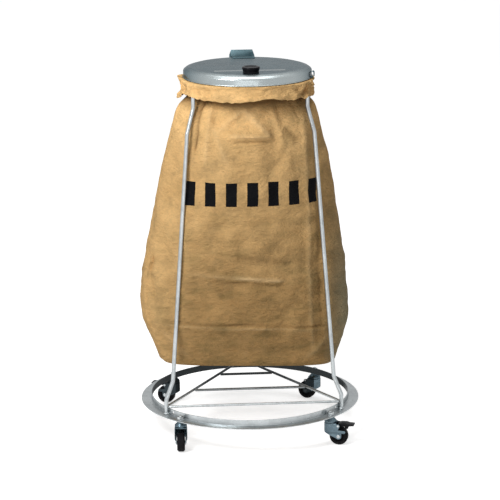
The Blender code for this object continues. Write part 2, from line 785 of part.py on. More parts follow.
def body_section(drop, neck_radius, neck_z):
    """Return the sack's section at a share of its drop: centre, half sizes, power, height."""
    z = neck_z + (SACK_FLOOR_Z - neck_z) * drop
    half = spline_value([
        (0.0, neck_radius), (0.11, SACK_SHOULDER_HALF), (0.41, SACK_WAIST_HALF),
        (0.82, SACK_BELLY_HALF), (1.0, SACK_FOOT_HALF)], drop)
    depth = SACK_HALF_DEPTH + (SACK_FOOT_HALF_DEPTH - SACK_HALF_DEPTH) * ease((drop - 0.72) / 0.28)
    power = 2.0 + 1.7 * ease((drop - 0.45) / 0.55)
    centre = -SACK_LEAN * spline_value([
        (0.0, 0.0), (0.08, 0.35), (0.35, 0.5), (0.82, 1.08), (1.0, 0.7)], drop)
    inside = leg_radius_at(z) - LEG_RADIUS - SACK_LEG_GAP
    for name in ("left", "right"):
        leg = around(inside, LEG_ANGLES[name], z)
        share = abs(leg.x - centre) / half
        if share < 0.97:
            depth = min(depth, abs(leg.y) / (1.0 - share ** power) ** (1.0 / power))
    return centre, half, depth, power, z


def ring_point(centre, half, depth, power, turn):
    """Return a point of a rounded section at a turn in radians from the front."""
    side = math.copysign(abs(math.sin(turn)) ** (2.0 / power), math.sin(turn))
    ahead = math.copysign(abs(math.cos(turn)) ** (2.0 / power), math.cos(turn))
    return centre + half * side, -depth * ahead


def degrees_apart(turn, place):
    """Return how far a turn in radians lies from a place in degrees."""
    return abs((math.degrees(turn) - place + 180.0) % 360.0 - 180.0)


def slack_radius(turn):
    """Return how far out the cuff lies at a turn: over the legs, and closer between them."""
    tight = TOP_RING_RADIUS + TOP_RING_ROD + CUFF_SLACK
    apart = min(degrees_apart(turn, place) for place in LEG_ANGLES.values())
    return CUFF_OUTSIDE + (tight - CUFF_OUTSIDE) * ease((apart - 9.0) / 22.0)


def crumpled(turn):
    """Return from 0 to 1 how far the cuff is crumpled out on the sack's left side."""
    return ease(1.0 - degrees_apart(turn, CUFF_BULGE_ANGLE) / CUFF_BULGE_SPAN)


def cuff_rows():
    """Return the cuff's rows as radius and height, from the hem over the ring to the inside."""
    near = TOP_RING_ROD + GAP + SACK_SHEET / 2.0
    outside = CUFF_OUTSIDE
    inside = TOP_RING_RADIUS - near
    top = PAPER_TOP_Z - SACK_SHEET / 2.0
    hem = top - CUFF_LENGTH
    return [
        (outside, hem), (outside, top - 0.008), (outside - 0.0040, top - 0.0010),
        (TOP_RING_RADIUS, top), (TOP_RING_RADIUS - near * 0.8, top - near * 0.16),
        (inside - 0.0002, TOP_RING_Z), (inside - 0.0008, TOP_RING_Z - 2.0 * TOP_RING_ROD),
    ]


def add_sack():
    """Loft the sack from the hem of its cuff down to its closed bottom."""
    shape = bmesh.new()
    rows = []
    turns = [math.tau * index / SACK_SIDES for index in range(SACK_SIDES)]
    cuff = cuff_rows()
    for index, (radius, z) in enumerate(cuff):
        row = []
        for turn in turns:
            wave = math.sin(5.0 * turn + 0.6) + 0.5 * math.sin(9.0 * turn)
            reach = min(radius, slack_radius(turn)) if radius > TOP_RING_RADIUS else radius
            lift = 0.0
            if index == 0:
                lift = CUFF_WAVE * wave
            elif index == 1:
                lift = CUFF_BULGE_RISE * crumpled(turn)
                reach += CUFF_BULGE * crumpled(turn)
            row.append(shape.verts.new((reach * math.sin(turn), -reach * math.cos(turn), z + lift)))
        rows.append(row)

    # Below the ring the round neck widens to the body, with folds that die out
    neck_radius, neck_z = cuff[-1]
    for index in range(1, SACK_BODY_ROWS + 1):
        drop = (index / SACK_BODY_ROWS) ** 1.12
        centre, half, depth, power, z = body_section(drop, neck_radius, neck_z)
        fold = SACK_FOLD_DEPTH * ease(1.0 - drop / 0.5) * ease(drop / 0.05)
        row = []
        for turn in turns:
            x, y = ring_point(centre, half, depth, power, turn)
            shrink = 1.0 - fold * (0.5 - 0.5 * math.cos(SACK_FOLDS * turn))
            sag = SACK_TILT * x * ease(drop)
            row.append(shape.verts.new((x * shrink, y * shrink, z - sag)))
        rows.append(row)

    # The bottom is rounded at its edge and closed by a flat block, lower on the right
    centre, half, depth, power, z = body_section(1.0, neck_radius, neck_z)
    for share, fall in ((0.98, 0.007), (0.90, 0.009)):
        row = []
        for turn in turns:
            x, y = ring_point(0.0, half * share, depth * share, power, turn)
            row.append(shape.verts.new((centre + x, y, z - fall - SACK_TILT * (centre + x))))
        rows.append(row)
    for upper, lower in zip(rows, rows[1:]):
        for index in range(SACK_SIDES):
            after = (index + 1) % SACK_SIDES
            shape.faces.new((upper[index], upper[after], lower[after], lower[index]))
    shape.faces.new(rows[-1])
    sack = add_object("sack", mesh_from_bmesh("sack", shape), PAPER)
    smooth(sack.data, 60.0)
    wall = sack.modifiers.new("Paper", "SOLIDIFY")
    wall.thickness = SACK_SHEET
    wall.offset = 0.0

    # The cuff is slit at the back so that the hinge bracket can reach the ring
    inner = TOP_RING_RADIUS - TOP_RING_ROD
    front = inner - CUTTER_REACH
    back = CUFF_OUTSIDE + CUTTER_REACH
    low = PAPER_TOP_Z - CUFF_LENGTH - 2.0 * CUFF_WAVE - CUTTER_REACH
    high = PAPER_TOP_Z + CUTTER_REACH
    slot = box("cuff_slot", (2.0 * CUFF_SLOT_HALF, back - front, high - low))
    slot.location = (0.0, (front + back) / 2.0, (low + high) / 2.0)
    keep = cylinder("cuff_slot_core", inner, 2.0 * (high - low), SACK_SIDES)
    keep.location.z = (low + high) / 2.0
    combine(slot, keep)
    combine(sack, slot)


# Lid with its knob, catch and hinge


def add_lid():
    """Turn the lid from sheet, press the rib and drill the screw and rivet holes."""
    radius = LID_RADIUS
    sheet = LID_SHEET
    top = LID_TOP_Z
    flat = radius - LID_SHOULDER
    drop = LID_SHOULDER_DROP
    rim = LID_RIM_Z
    lid = turned("lid", [
        (0.0, top), (flat, top), (flat + LID_SHOULDER * 0.62, top - drop * 0.38),
        (radius - 0.0008, top - drop), (radius, top - drop - LID_SKIRT_ROUND),
        (radius, rim + 2.0 * LID_BEAD), (radius + LID_BEAD, rim + LID_BEAD),
        (radius + LID_BEAD * 0.5, rim), (radius - sheet, rim), (radius - sheet, top - drop - 0.002),
        (flat + LID_SHOULDER * 0.57, top - drop * 0.38 - sheet), (flat, top - sheet),
        (0.0, top - sheet),
    ], LID_SIDES, LID_STEEL)

    # The rib is pressed up: a rounded bar is joined on top and hollowed from below
    def rib_bar(name, width, height, length):
        outline = arc((length / 2.0 - width / 2.0, 0.0), width / 2.0, -90.0, 90.0, 4)
        outline += arc((-length / 2.0 + width / 2.0, 0.0), width / 2.0, 90.0, 270.0, 4)
        bar = add_object(name, prism_mesh(name, [outline], height), None, None, CUTTERS)
        for vert in bar.data.vertices:
            if vert.co.z > 0.0:
                vert.co.y *= RIB_CREST
                end = length / 2.0 - width / 2.0
                over = abs(vert.co.x) - end
                if over > 0.0:
                    vert.co.x = math.copysign(end + over * RIB_CREST, vert.co.x)
        bar.location = (0.0, -RIB_FORWARD, 0.0)
        return bar

    bar = rib_bar("rib_bar", RIB_WIDTH, RIB_HEIGHT + sheet * 0.5, RIB_LENGTH)
    bar.location.z = top - sheet * 0.5 + (RIB_HEIGHT + sheet * 0.5) / 2.0
    combine(lid, bar, "UNION")
    hollow = rib_bar("rib_hollow", RIB_WIDTH - 2.0 * sheet, RIB_HEIGHT + 0.002, RIB_LENGTH - 2.0 * sheet)
    hollow.location.z = top - sheet - 0.002 + (RIB_HEIGHT + 0.002) / 2.0
    combine(lid, hollow)

    screw_hole = cylinder("lid_screw_hole", KNOB_SCREW_RADIUS + GAP, CUTTER_REACH, 12)
    screw_hole.location = (0.0, -KNOB_FORWARD, top)
    combine(lid, screw_hole)
    for side in (-1.0, 1.0):
        hole = cylinder(f"lid_rivet_hole_{int(side)}", RIVET_RADIUS + GAP, CUTTER_REACH, 12)
        hole.location = (side * RIVET_SPREAD, rivet_y(), top)
        combine(lid, hole)


def rivet_y():
    """Return how far behind the lid's centre the hinge rivets stand."""
    return LID_RADIUS - LID_SHOULDER - LEAF_ON_LID / 2.0


def add_knob():
    """Add the waisted knob with a dished top, and the screw that holds it from below."""
    low = LID_TOP_Z + GAP
    high = low + KNOB_HEIGHT
    radius = KNOB_RADIUS
    bore = KNOB_SCREW_RADIUS + GAP
    knob = add_object("lid_knob", turned_mesh("lid_knob", [
        (0.0, high - 0.0030), (radius * 0.84, high - 0.0003), (radius * 0.94, high - 0.0003),
        (radius, high - 0.0030), (radius * 0.87, low + 0.0060), (radius * 0.90, low), (bore, low),
        (bore, low + KNOB_SCREW_DEPTH + GAP), (0.0, low + KNOB_SCREW_DEPTH + GAP),
    ], 16), PLASTIC)
    knob.location.y = -KNOB_FORWARD
    under = LID_TOP_Z - LID_SHEET - GAP
    head = KNOB_SCREW_HEAD
    screw = add_object("lid_knob_screw", turned_mesh("lid_knob_screw", [
        (0.0, low + KNOB_SCREW_DEPTH), (KNOB_SCREW_RADIUS, low + KNOB_SCREW_DEPTH),
        (KNOB_SCREW_RADIUS, under), (head, under), (head, under - 0.0018),
        (head * 0.6, under - 0.0030), (0.0, under - 0.0030),
    ], 6), ZINC)
    screw.location.y = -KNOB_FORWARD


def strip_mesh(name, path, width, sheet):
    """Return a bent strip of sheet: a path in Y and Z, drawn out along X and thickened."""
    shape = bmesh.new()
    left = [shape.verts.new((-width / 2.0, y, z)) for y, z in path]
    right = [shape.verts.new((width / 2.0, y, z)) for y, z in path]
    for index in range(len(path) - 1):
        shape.faces.new((left[index], right[index], right[index + 1], left[index + 1]))
    strip = add_object(name, mesh_from_bmesh(name, shape), None)
    wall = strip.modifiers.new("Sheet", "SOLIDIFY")
    wall.thickness = sheet
    wall.offset = 0.0
    wall.use_even_offset = True
    return baked(strip)


def add_catch():
    """Add the small bent catch on the lid's right side."""
    seat = LID_RADIUS * math.cos(math.pi / LID_SIDES) + GAP
    low = LID_RIM_Z + 2.0 * LID_BEAD + CATCH_SHEET
    high = LID_TOP_Z - LID_SHOULDER_DROP - LID_SKIRT_ROUND - CATCH_SHEET
    reach = seat + CATCH_REACH - CATCH_SHEET / 2.0
    flare = CATCH_REACH * 0.35
    path = [
        (-seat, low), (-seat - CATCH_REACH * 0.6, low - flare), (-reach, low),
        (-reach, high), (-seat - CATCH_REACH * 0.6, high + flare), (-seat, high),
    ]
    mesh = strip_mesh("lid_side_catch", path, CATCH_WIDTH, CATCH_SHEET)
    catch = add_object("lid_side_catch", mesh, LID_STEEL)
    catch.rotation_euler.z = math.radians(CATCH_FACET * 360.0 / LID_SIDES)


def add_hinge():
    """Add the leaf on the lid, the pin, the rivets and the bracket on the top ring."""
    y, z = HINGE_Y, HINGE_Z
    sheet = LEAF_SHEET
    curl = HINGE_PIN_RADIUS + 2.0 * GAP + sheet / 2.0
    lift = LID_TOP_Z + GAP + sheet / 2.0
    flat = LID_RADIUS - LID_SHOULDER
    path = [(flat - LEAF_ON_LID, lift), (flat + 0.003, lift)]
    path.append((LID_RADIUS + 0.0022, LID_TOP_Z - LID_SHOULDER_DROP + 0.0035))
    path += arc((y, z), curl, 120.0, -165.0, 9)
    leaf = add_object("hinge_leaf", strip_mesh(
        "hinge_leaf", path, 2.0 * LEAF_HALF_WIDTH, sheet), LID_STEEL)
    for side in (-1.0, 1.0):
        hole = cylinder(f"leaf_rivet_hole_{int(side)}", RIVET_RADIUS + GAP, CUTTER_REACH, 12)
        hole.location = (side * RIVET_SPREAD, rivet_y(), lift)
        combine(leaf, hole)

    # Rivets through the leaf and the lid
    above = lift + sheet / 2.0 + GAP
    below = LID_TOP_Z - LID_SHEET - GAP
    mesh = turned_mesh("hinge_rivet", [
        (0.0, above + 0.0014), (RIVET_HEAD, above), (RIVET_RADIUS, above),
        (RIVET_RADIUS, below), (RIVET_HEAD, below), (0.0, below - 0.0010),
    ], 8)
    for name, side in (("left", -1.0), ("right", 1.0)):
        rivet = add_object(f"hinge_rivet_{name}", mesh, LID_STEEL)
        rivet.location = (side * RIVET_SPREAD, rivet_y(), 0.0)

    # The pin lies in the cheeks and is headed outside them
    cheek = BRACKET_HALF_WIDTH
    side_out = cheek + GAP
    pin = add_object("hinge_pin", turned_mesh("hinge_pin", [
        (0.0, side_out + 0.0018), (HINGE_PIN_HEAD, side_out + 0.0018), (HINGE_PIN_HEAD, side_out),
        (HINGE_PIN_RADIUS, side_out), (HINGE_PIN_RADIUS, -side_out), (HINGE_PIN_HEAD, -side_out),
        (HINGE_PIN_HEAD, -side_out - 0.0018), (0.0, -side_out - 0.0018),
    ], 10), ZINC)
    pin.location = (0.0, y, z)
    pin.rotation_euler.y = math.radians(90.0)

    # The bracket is folded from sheet: a back plate with two cheeks that reach the ring
    sheet = BRACKET_SHEET
    back = y + BRACKET_DEPTH
    low = z - BRACKET_DROP
    high = z + BRACKET_RISE
    seat = math.sqrt((TOP_RING_RADIUS + TOP_RING_ROD + GAP) ** 2 - (cheek - sheet) ** 2) + GAP
    cheek_top = z + CHEEK_RISE
    cheek_outline = [
        (back + sheet, low), (back + sheet, high), (back - sheet, high),
        (y + CHEEK_RISE, cheek_top), (y - 0.0040, cheek_top), (y - 0.0095, z + 0.0040),
        (y - 0.0095, PAPER_TOP_Z + 0.0025), (seat, TOP_RING_Z + TOP_RING_ROD), (seat, low + 0.004),
        (seat + 0.004, low),
    ]
    blank = add_object("hinge_bracket", side_prism_mesh(
        "hinge_bracket", [cheek_outline], 2.0 * cheek), LID_STEEL)
    blank.data.transform(Matrix.Rotation(math.radians(90.0), 4, "Z"))
    tall = 2.0 * (BRACKET_RISE + BRACKET_DROP)
    inside = box("bracket_inside", (2.0 * (cheek - sheet), 2.0 * (back - seat), tall))
    inside.location = (0.0, seat, z)
    combine(blank, inside)
    for side in (-1.0, 1.0):
        edge = side * (cheek + CUTTER_REACH)
        corner = [(side * cheek, cheek_top + sheet), (side * BRACKET_TOP_HALF, high),
                  (side * BRACKET_TOP_HALF, high + CUTTER_REACH), (edge, high + CUTTER_REACH),
                  (edge, cheek_top + sheet)]
        wedge = add_object(f"bracket_corner_{int(side)}", side_prism_mesh(
            "bracket_corner", [corner], 4.0 * BRACKET_DEPTH), None, None, CUTTERS)
        wedge.location.y = back
        combine(blank, wedge)
    hole = cylinder("bracket_pin_hole", HINGE_PIN_RADIUS + GAP, 4.0 * cheek, 12)
    hole.location = (0.0, y, z)
    hole.rotation_euler.y = math.radians(90.0)
    combine(blank, hole)


add_base_ring()
add_legs()
add_grid()
add_top_ring()
add_sack()
add_lid()
add_knob()
add_catch()
add_hinge()
add_castors()
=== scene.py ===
"""Looks of a wheeled holder for a large paper bag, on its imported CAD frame.

Each class is one sub-assembly or one finish. A sub-assembly holds its sizes, makes its
meshes with bmesh operators in metres at their final place, and dresses them.
Front is -Y, up is +Z, and the origin is on the floor below the rings.
"""

from __future__ import annotations

import json
import logging
import math
from dataclasses import dataclass, field, replace
from enum import Enum
from typing import Iterable, Sequence

import bmesh
import bpy
from mathutils import Matrix, Vector, noise


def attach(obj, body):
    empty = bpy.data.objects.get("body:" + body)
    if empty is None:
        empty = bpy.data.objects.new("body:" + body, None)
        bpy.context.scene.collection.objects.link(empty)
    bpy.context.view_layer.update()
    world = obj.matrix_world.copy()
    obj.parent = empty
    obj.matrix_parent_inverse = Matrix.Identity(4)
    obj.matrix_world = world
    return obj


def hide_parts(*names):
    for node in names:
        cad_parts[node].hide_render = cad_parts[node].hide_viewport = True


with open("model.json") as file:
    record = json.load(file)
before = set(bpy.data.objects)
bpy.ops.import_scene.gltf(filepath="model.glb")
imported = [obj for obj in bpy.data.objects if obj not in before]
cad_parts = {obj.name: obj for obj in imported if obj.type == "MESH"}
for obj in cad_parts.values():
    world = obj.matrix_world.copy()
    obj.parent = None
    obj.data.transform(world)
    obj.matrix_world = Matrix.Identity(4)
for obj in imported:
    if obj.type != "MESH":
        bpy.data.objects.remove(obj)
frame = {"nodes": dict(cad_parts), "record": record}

LOG = logging.getLogger("bin_bag_holder")
# Seed of the noise that warps the paper's facets, so that each run gives the same bag
NOISE_SEED = 7

Point2 = tuple[float, float]
Point3 = tuple[float, float, float]
Colour = Point3
Shape = bmesh.types.BMesh
Socket = bpy.types.NodeSocket

# Clearance between two pieces that touch, as in the CAD
GAP = 0.0003
# Points of one shape, and of a CAD node, that lie nearer than this are merged
MERGE = 0.000002
NODE_MERGE = 0.000005
# Points nearer to a cutting plane than this lie on it
ON_PLANE = 0.000001
# Corners of a path whose half angle is over this many degrees stay as they are
FLAT_CORNER = 86.0
# Most of a side that a rounded corner may take up
SIDE_SHARE = 0.46
# Edges sharper than this many degrees are bevelled
SHARP_ANGLE = 30.0


class Slot(Enum):
    """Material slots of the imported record."""

    ZINC = "galvanised_steel"
    LID = "lid_steel"
    BLUE = "blue_zinc"
    PAPER = "kraft_paper"
    RUBBER = "black_rubber"
    PLASTIC = "black_plastic"


class Axis(Enum):
    """World axes by name, for turning a shape drawn along Z."""

    X = "X"
    Y = "Y"
    Z = "Z"


# ---------------------------------------------------------------- small geometry


def around(radius: float, angle: float, height: float) -> Vector:
    """Return the point at an angle in degrees from the front, positive to the right."""
    turn = math.radians(angle)
    return Vector((radius * math.sin(turn), -radius * math.cos(turn), height))


def arc(centre: Point2, radius: float, start: float, stop: float, steps: int) -> list[Point2]:
    """Return points of a flat arc.

    Args:
        centre: Middle of the arc.
        radius: Radius in metres.
        start: First angle in degrees.
        stop: Last angle in degrees.
        steps: Number of chords.

    Returns:
        The points from the first angle to the last.
    """
    turns = [math.radians(start + (stop - start) * index / steps) for index in range(steps + 1)]
    return [(centre[0] + radius * math.cos(t), centre[1] + radius * math.sin(t)) for t in turns]


def ease(share: float) -> float:
    """Return a share from 0 to 1 with a soft start and end."""
    share = min(max(share, 0.0), 1.0)
    return share * share * (3.0 - 2.0 * share)


def ramp(value: float, start: float, span: float) -> float:
    """Return the eased share of a span that a value has covered."""
    return ease((value - start) / span)


def hump(value: float, centre: float, reach: float) -> float:
    """Return an eased share that is 1 at a centre and 0 from a reach away from it."""
    return ease(1.0 - abs(value - centre) / reach)


def softened(corners: Sequence[Point2], radius: float, steps: int = 3,
             closed: bool = False) -> list[Point2]:
    """Round the corners of a flat path.

    Args:
        corners: The path's corners.
        radius: Radius wanted, cut down where a side is short.
        steps: Chords in each rounded corner.
        closed: Whether the last corner joins the first.

    Returns:
        The rounded path.
    """
    points = [Vector(corner).to_3d() for corner in corners]
    count = len(points)
    path: list[Vector] = []
    for index, corner in enumerate(points):
        if not closed and index in (0, count - 1):
            path.append(corner)
            continue
        back, ahead = points[index - 1] - corner, points[(index + 1) % count] - corner
        half = back.angle(ahead, math.pi) / 2.0
        if half > math.radians(FLAT_CORNER):
            path.append(corner)
            continue
        reach = min(radius / math.tan(half), SIDE_SHARE * back.length, SIDE_SHARE * ahead.length)
        start = corner + back.normalized() * reach
        stop = corner + ahead.normalized() * reach
        for step in range(steps + 1):
            share = step / steps
            path.append(start.lerp(corner, share).lerp(corner.lerp(stop, share), share))
    return [(point.x, point.y) for point in path]


def closed_up(shape: Shape) -> Shape:
    """Merge a shape's doubles and turn its faces outwards.

    Args:
        shape: The shape.

    Returns:
        The same shape.
    """
    bmesh.ops.remove_doubles(shape, verts=shape.verts[:], dist=MERGE)
    bmesh.ops.recalc_face_normals(shape, faces=shape.faces[:])
    return shape


def spun(profile: Sequence[Point2], sides: int) -> Shape:
    """Spin a profile about Z.

    Args:
        profile: Radius and height pairs. It closes on itself unless it meets the axis.
        sides: Steps of the full turn.

    Returns:
        A closed shape with its faces outwards.
    """
    shape = bmesh.new()
    verts = [shape.verts.new((radius, 0.0, height)) for radius, height in profile]
    edges = [shape.edges.new(pair) for pair in zip(verts, verts[1:])]
    if min(profile[0][0], profile[-1][0]) > 0.0:
        edges.append(shape.edges.new((verts[-1], verts[0])))
    bmesh.ops.spin(shape, geom=verts + edges, cent=(0.0, 0.0, 0.0), axis=(0.0, 0.0, 1.0),
                   steps=sides, angle=math.tau, use_merge=True)
    return closed_up(shape)


def prism(outline: Sequence[Point2], thickness: float) -> Shape:
    """Extrude a flat outline evenly to both sides of Z = 0.

    Args:
        outline: Corners of the outline.
        thickness: Thickness in metres.

    Returns:
        A closed shape with its faces outwards.
    """
    shape = bmesh.new()
    face = shape.faces.new([shape.verts.new((x, y, -thickness / 2.0)) for x, y in outline])
    grown = bmesh.ops.extrude_face_region(shape, geom=[face])
    tops = [item for item in grown["geom"] if isinstance(item, bmesh.types.BMVert)]
    bmesh.ops.translate(shape, verts=tops, vec=(0.0, 0.0, thickness))
    return closed_up(shape)


def tube(path: Sequence[Vector], radius: float, sides: int) -> Shape:
    """Extrude a circle along a path and close its ends.

    Args:
        path: Points of the centre line.
        radius: Radius of the rod.
        sides: Sides of the circle.

    Returns:
        A closed shape with its faces outwards.
    """
    shape = bmesh.new()
    rays = [(after - before).normalized() for before, after in zip(path, path[1:])]
    ways = [rays[0], *[(a + b).normalized() for a, b in zip(rays, rays[1:])], rays[-1]]
    stand = Matrix.Translation(path[0]) @ turn_to(ways[0])
    bmesh.ops.create_circle(shape, cap_ends=True, radius=radius, segments=sides, matrix=stand)
    loop = shape.edges[:]
    for index in range(1, len(path)):
        grown = bmesh.ops.extrude_edge_only(shape, edges=loop)["geom"]
        verts = {item for item in grown if isinstance(item, bmesh.types.BMVert)}
        loop = [item for item in grown if isinstance(item, bmesh.types.BMEdge)
                and item.verts[0] in verts and item.verts[1] in verts]
        turn = ways[index - 1].rotation_difference(ways[index]).to_matrix().to_4x4()
        move = Matrix.Translation(path[index]) @ turn @ Matrix.Translation(-path[index - 1])
        bmesh.ops.transform(shape, matrix=move, verts=list(verts))
    bmesh.ops.contextual_create(shape, geom=loop)
    return closed_up(shape)


def drill(radius: float, depth: float = 0.02, sides: int = 32) -> Shape:
    """Return a round cutter along Z.

    Args:
        radius: Radius of the cutter.
        depth: Its whole length.
        sides: Sides of its circle.

    Returns:
        A closed shape about the origin.
    """
    shape = bmesh.new()
    bmesh.ops.create_cone(shape, cap_ends=True, segments=sides, radius1=radius, radius2=radius,
                          depth=depth)
    return shape


def rounded(shape: Shape, edges: list[bmesh.types.BMEdge], width: float, segments: int) -> Shape:
    """Bevel some edges of a shape.

    Args:
        shape: A closed shape.
        edges: The edges that are bevelled.
        width: Width of the bevel.
        segments: Faces across it.

    Returns:
        The same shape.
    """
    bmesh.ops.bevel(shape, geom=edges, offset=width, offset_type="OFFSET", affect="EDGES",
                    segments=segments, profile=0.5, material=-1, clamp_overlap=True)
    return shape


def bevelled(shape: Shape, width: float) -> Shape:
    """Round a shape's sharp edges.

    Args:
        shape: A closed shape.
        width: Width of the bevel.

    Returns:
        The same shape.
    """
    sharp = [edge for edge in shape.edges if len(edge.link_faces) == 2
             and edge.calc_face_angle(0.0) > math.radians(SHARP_ANGLE)]
    return rounded(shape, sharp, width, 2)


def placed(shape: Shape, *steps: Matrix) -> Shape:
    """Move a shape by matrices, the last one first.

    Args:
        shape: The shape that is moved.
        steps: Matrices, of which the last acts first.

    Returns:
        The same shape.
    """
    whole = Matrix.Identity(4)
    for step in steps:
        whole = whole @ step
    bmesh.ops.transform(shape, matrix=whole, verts=shape.verts[:])
    return shape


def turn_about(axis: Axis, degrees: float) -> Matrix:
    """Return a turn about a world axis."""
    return Matrix.Rotation(math.radians(degrees), 4, axis.value)


def turn_to(way: Vector, front: str = "Z") -> Matrix:
    """Return the turn that points a local axis along a way."""
    return way.to_track_quat(front, "Y").to_matrix().to_4x4()


def shift(x: float, y: float, z: float) -> Matrix:
    """Return a move."""
    return Matrix.Translation((x, y, z))


def mesh_of(shape: Shape, name: str) -> bpy.types.Mesh:
    """Return a shape as a mesh, and free the shape.

    Args:
        shape: The shape, which is freed.
        name: Name of the mesh.

    Returns:
        The mesh.
    """
    mesh = bpy.data.meshes.new(name)
    shape.to_mesh(mesh)
    shape.free()
    return mesh


def linked(name: str, data: bpy.types.ID) -> bpy.types.Object:
    """Return an object at the origin that shows its data in the scene.

    Args:
        name: Name of the object.
        data: Mesh, camera or lamp that it shows.

    Returns:
        The object.
    """
    item = bpy.data.objects.new(name, data)
    bpy.context.scene.collection.objects.link(item)
    return item


def joined(shapes: Iterable[Shape]) -> Shape:
    """Return one shape that holds several, and free them.

    Args:
        shapes: The shapes, which are freed.

    Returns:
        The one shape.
    """
    whole = bmesh.new()
    for shape in shapes:
        mesh = mesh_of(shape, "part")
        whole.from_mesh(mesh)
        bpy.data.meshes.remove(mesh)
    return whole


def carved(body: Shape, tools: Iterable[Shape], operation: str = "DIFFERENCE") -> Shape:
    """Cut, join or intersect a closed shape with others.

    Args:
        body: The shape that is kept.
        tools: Closed shapes, freed here.
        operation: DIFFERENCE, UNION or INTERSECT.

    Returns:
        The result, with its doubles merged.
    """
    made = [linked(label, mesh_of(shape, label))
            for label, shape in (("carved", body), *[("tool", tool) for tool in tools])]
    for tool in made[1:]:
        step = made[0].modifiers.new(tool.name, "BOOLEAN")
        step.operation = operation
        step.solver = "EXACT"
        step.object = tool
    bpy.context.view_layer.update()
    graph = bpy.context.evaluated_depsgraph_get()
    mesh = bpy.data.meshes.new_from_object(made[0].evaluated_get(graph))
    result = bmesh.new()
    result.from_mesh(mesh)
    for item in made:
        old = item.data
        bpy.data.objects.remove(item, do_unlink=True)
        bpy.data.meshes.remove(old)
    bpy.data.meshes.remove(mesh)
    bmesh.ops.remove_doubles(result, verts=result.verts[:], dist=MERGE)
    return result


def copy_of_node(node: str) -> Shape:
    """Return a CAD node's mesh with its loose triangles merged into flat faces.

    Args:
        node: Name of the CAD node.

    Returns:
        A shape with the node's outline.
    """
    shape = bmesh.new()
    shape.from_mesh(frame["nodes"][node].data)
    bmesh.ops.remove_doubles(shape, verts=shape.verts[:], dist=NODE_MERGE)
    bmesh.ops.dissolve_limit(shape, angle_limit=math.radians(1.0), verts=shape.verts[:],
                             edges=shape.edges[:], delimit=set())
    return shape


def body_of_node(node: str) -> str:
    """Return the body that a CAD node belongs to."""
    bodies = frame["record"]["behaviour"]["bodies"]
    return next(body for body, names in bodies.items() if node in names)


def publish(shape: Shape, name: str, finish: Finish, nodes: Sequence[str],
            crease: float = 32.0) -> bpy.types.Object:
    """Turn a finished shape into a piece that stands for CAD nodes.

    Args:
        shape: The shape at its final place, freed here.
        name: Name of the piece.
        finish: Finish that it is dressed in.
        nodes: CAD nodes that it stands for, the first of which carries it.
        crease: Edges sharper than this many degrees stay sharp.

    Returns:
        The object.
    """
    mesh = mesh_of(shape, name)
    mesh.shade_smooth()
    mesh.set_sharp_from_angle(angle=math.radians(crease))
    item = linked(name, mesh)
    mesh.materials.append(finish.material)
    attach(item, body_of_node(nodes[0]))
    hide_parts(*nodes)
    return item


# ---------------------------------------------------------------- finishes


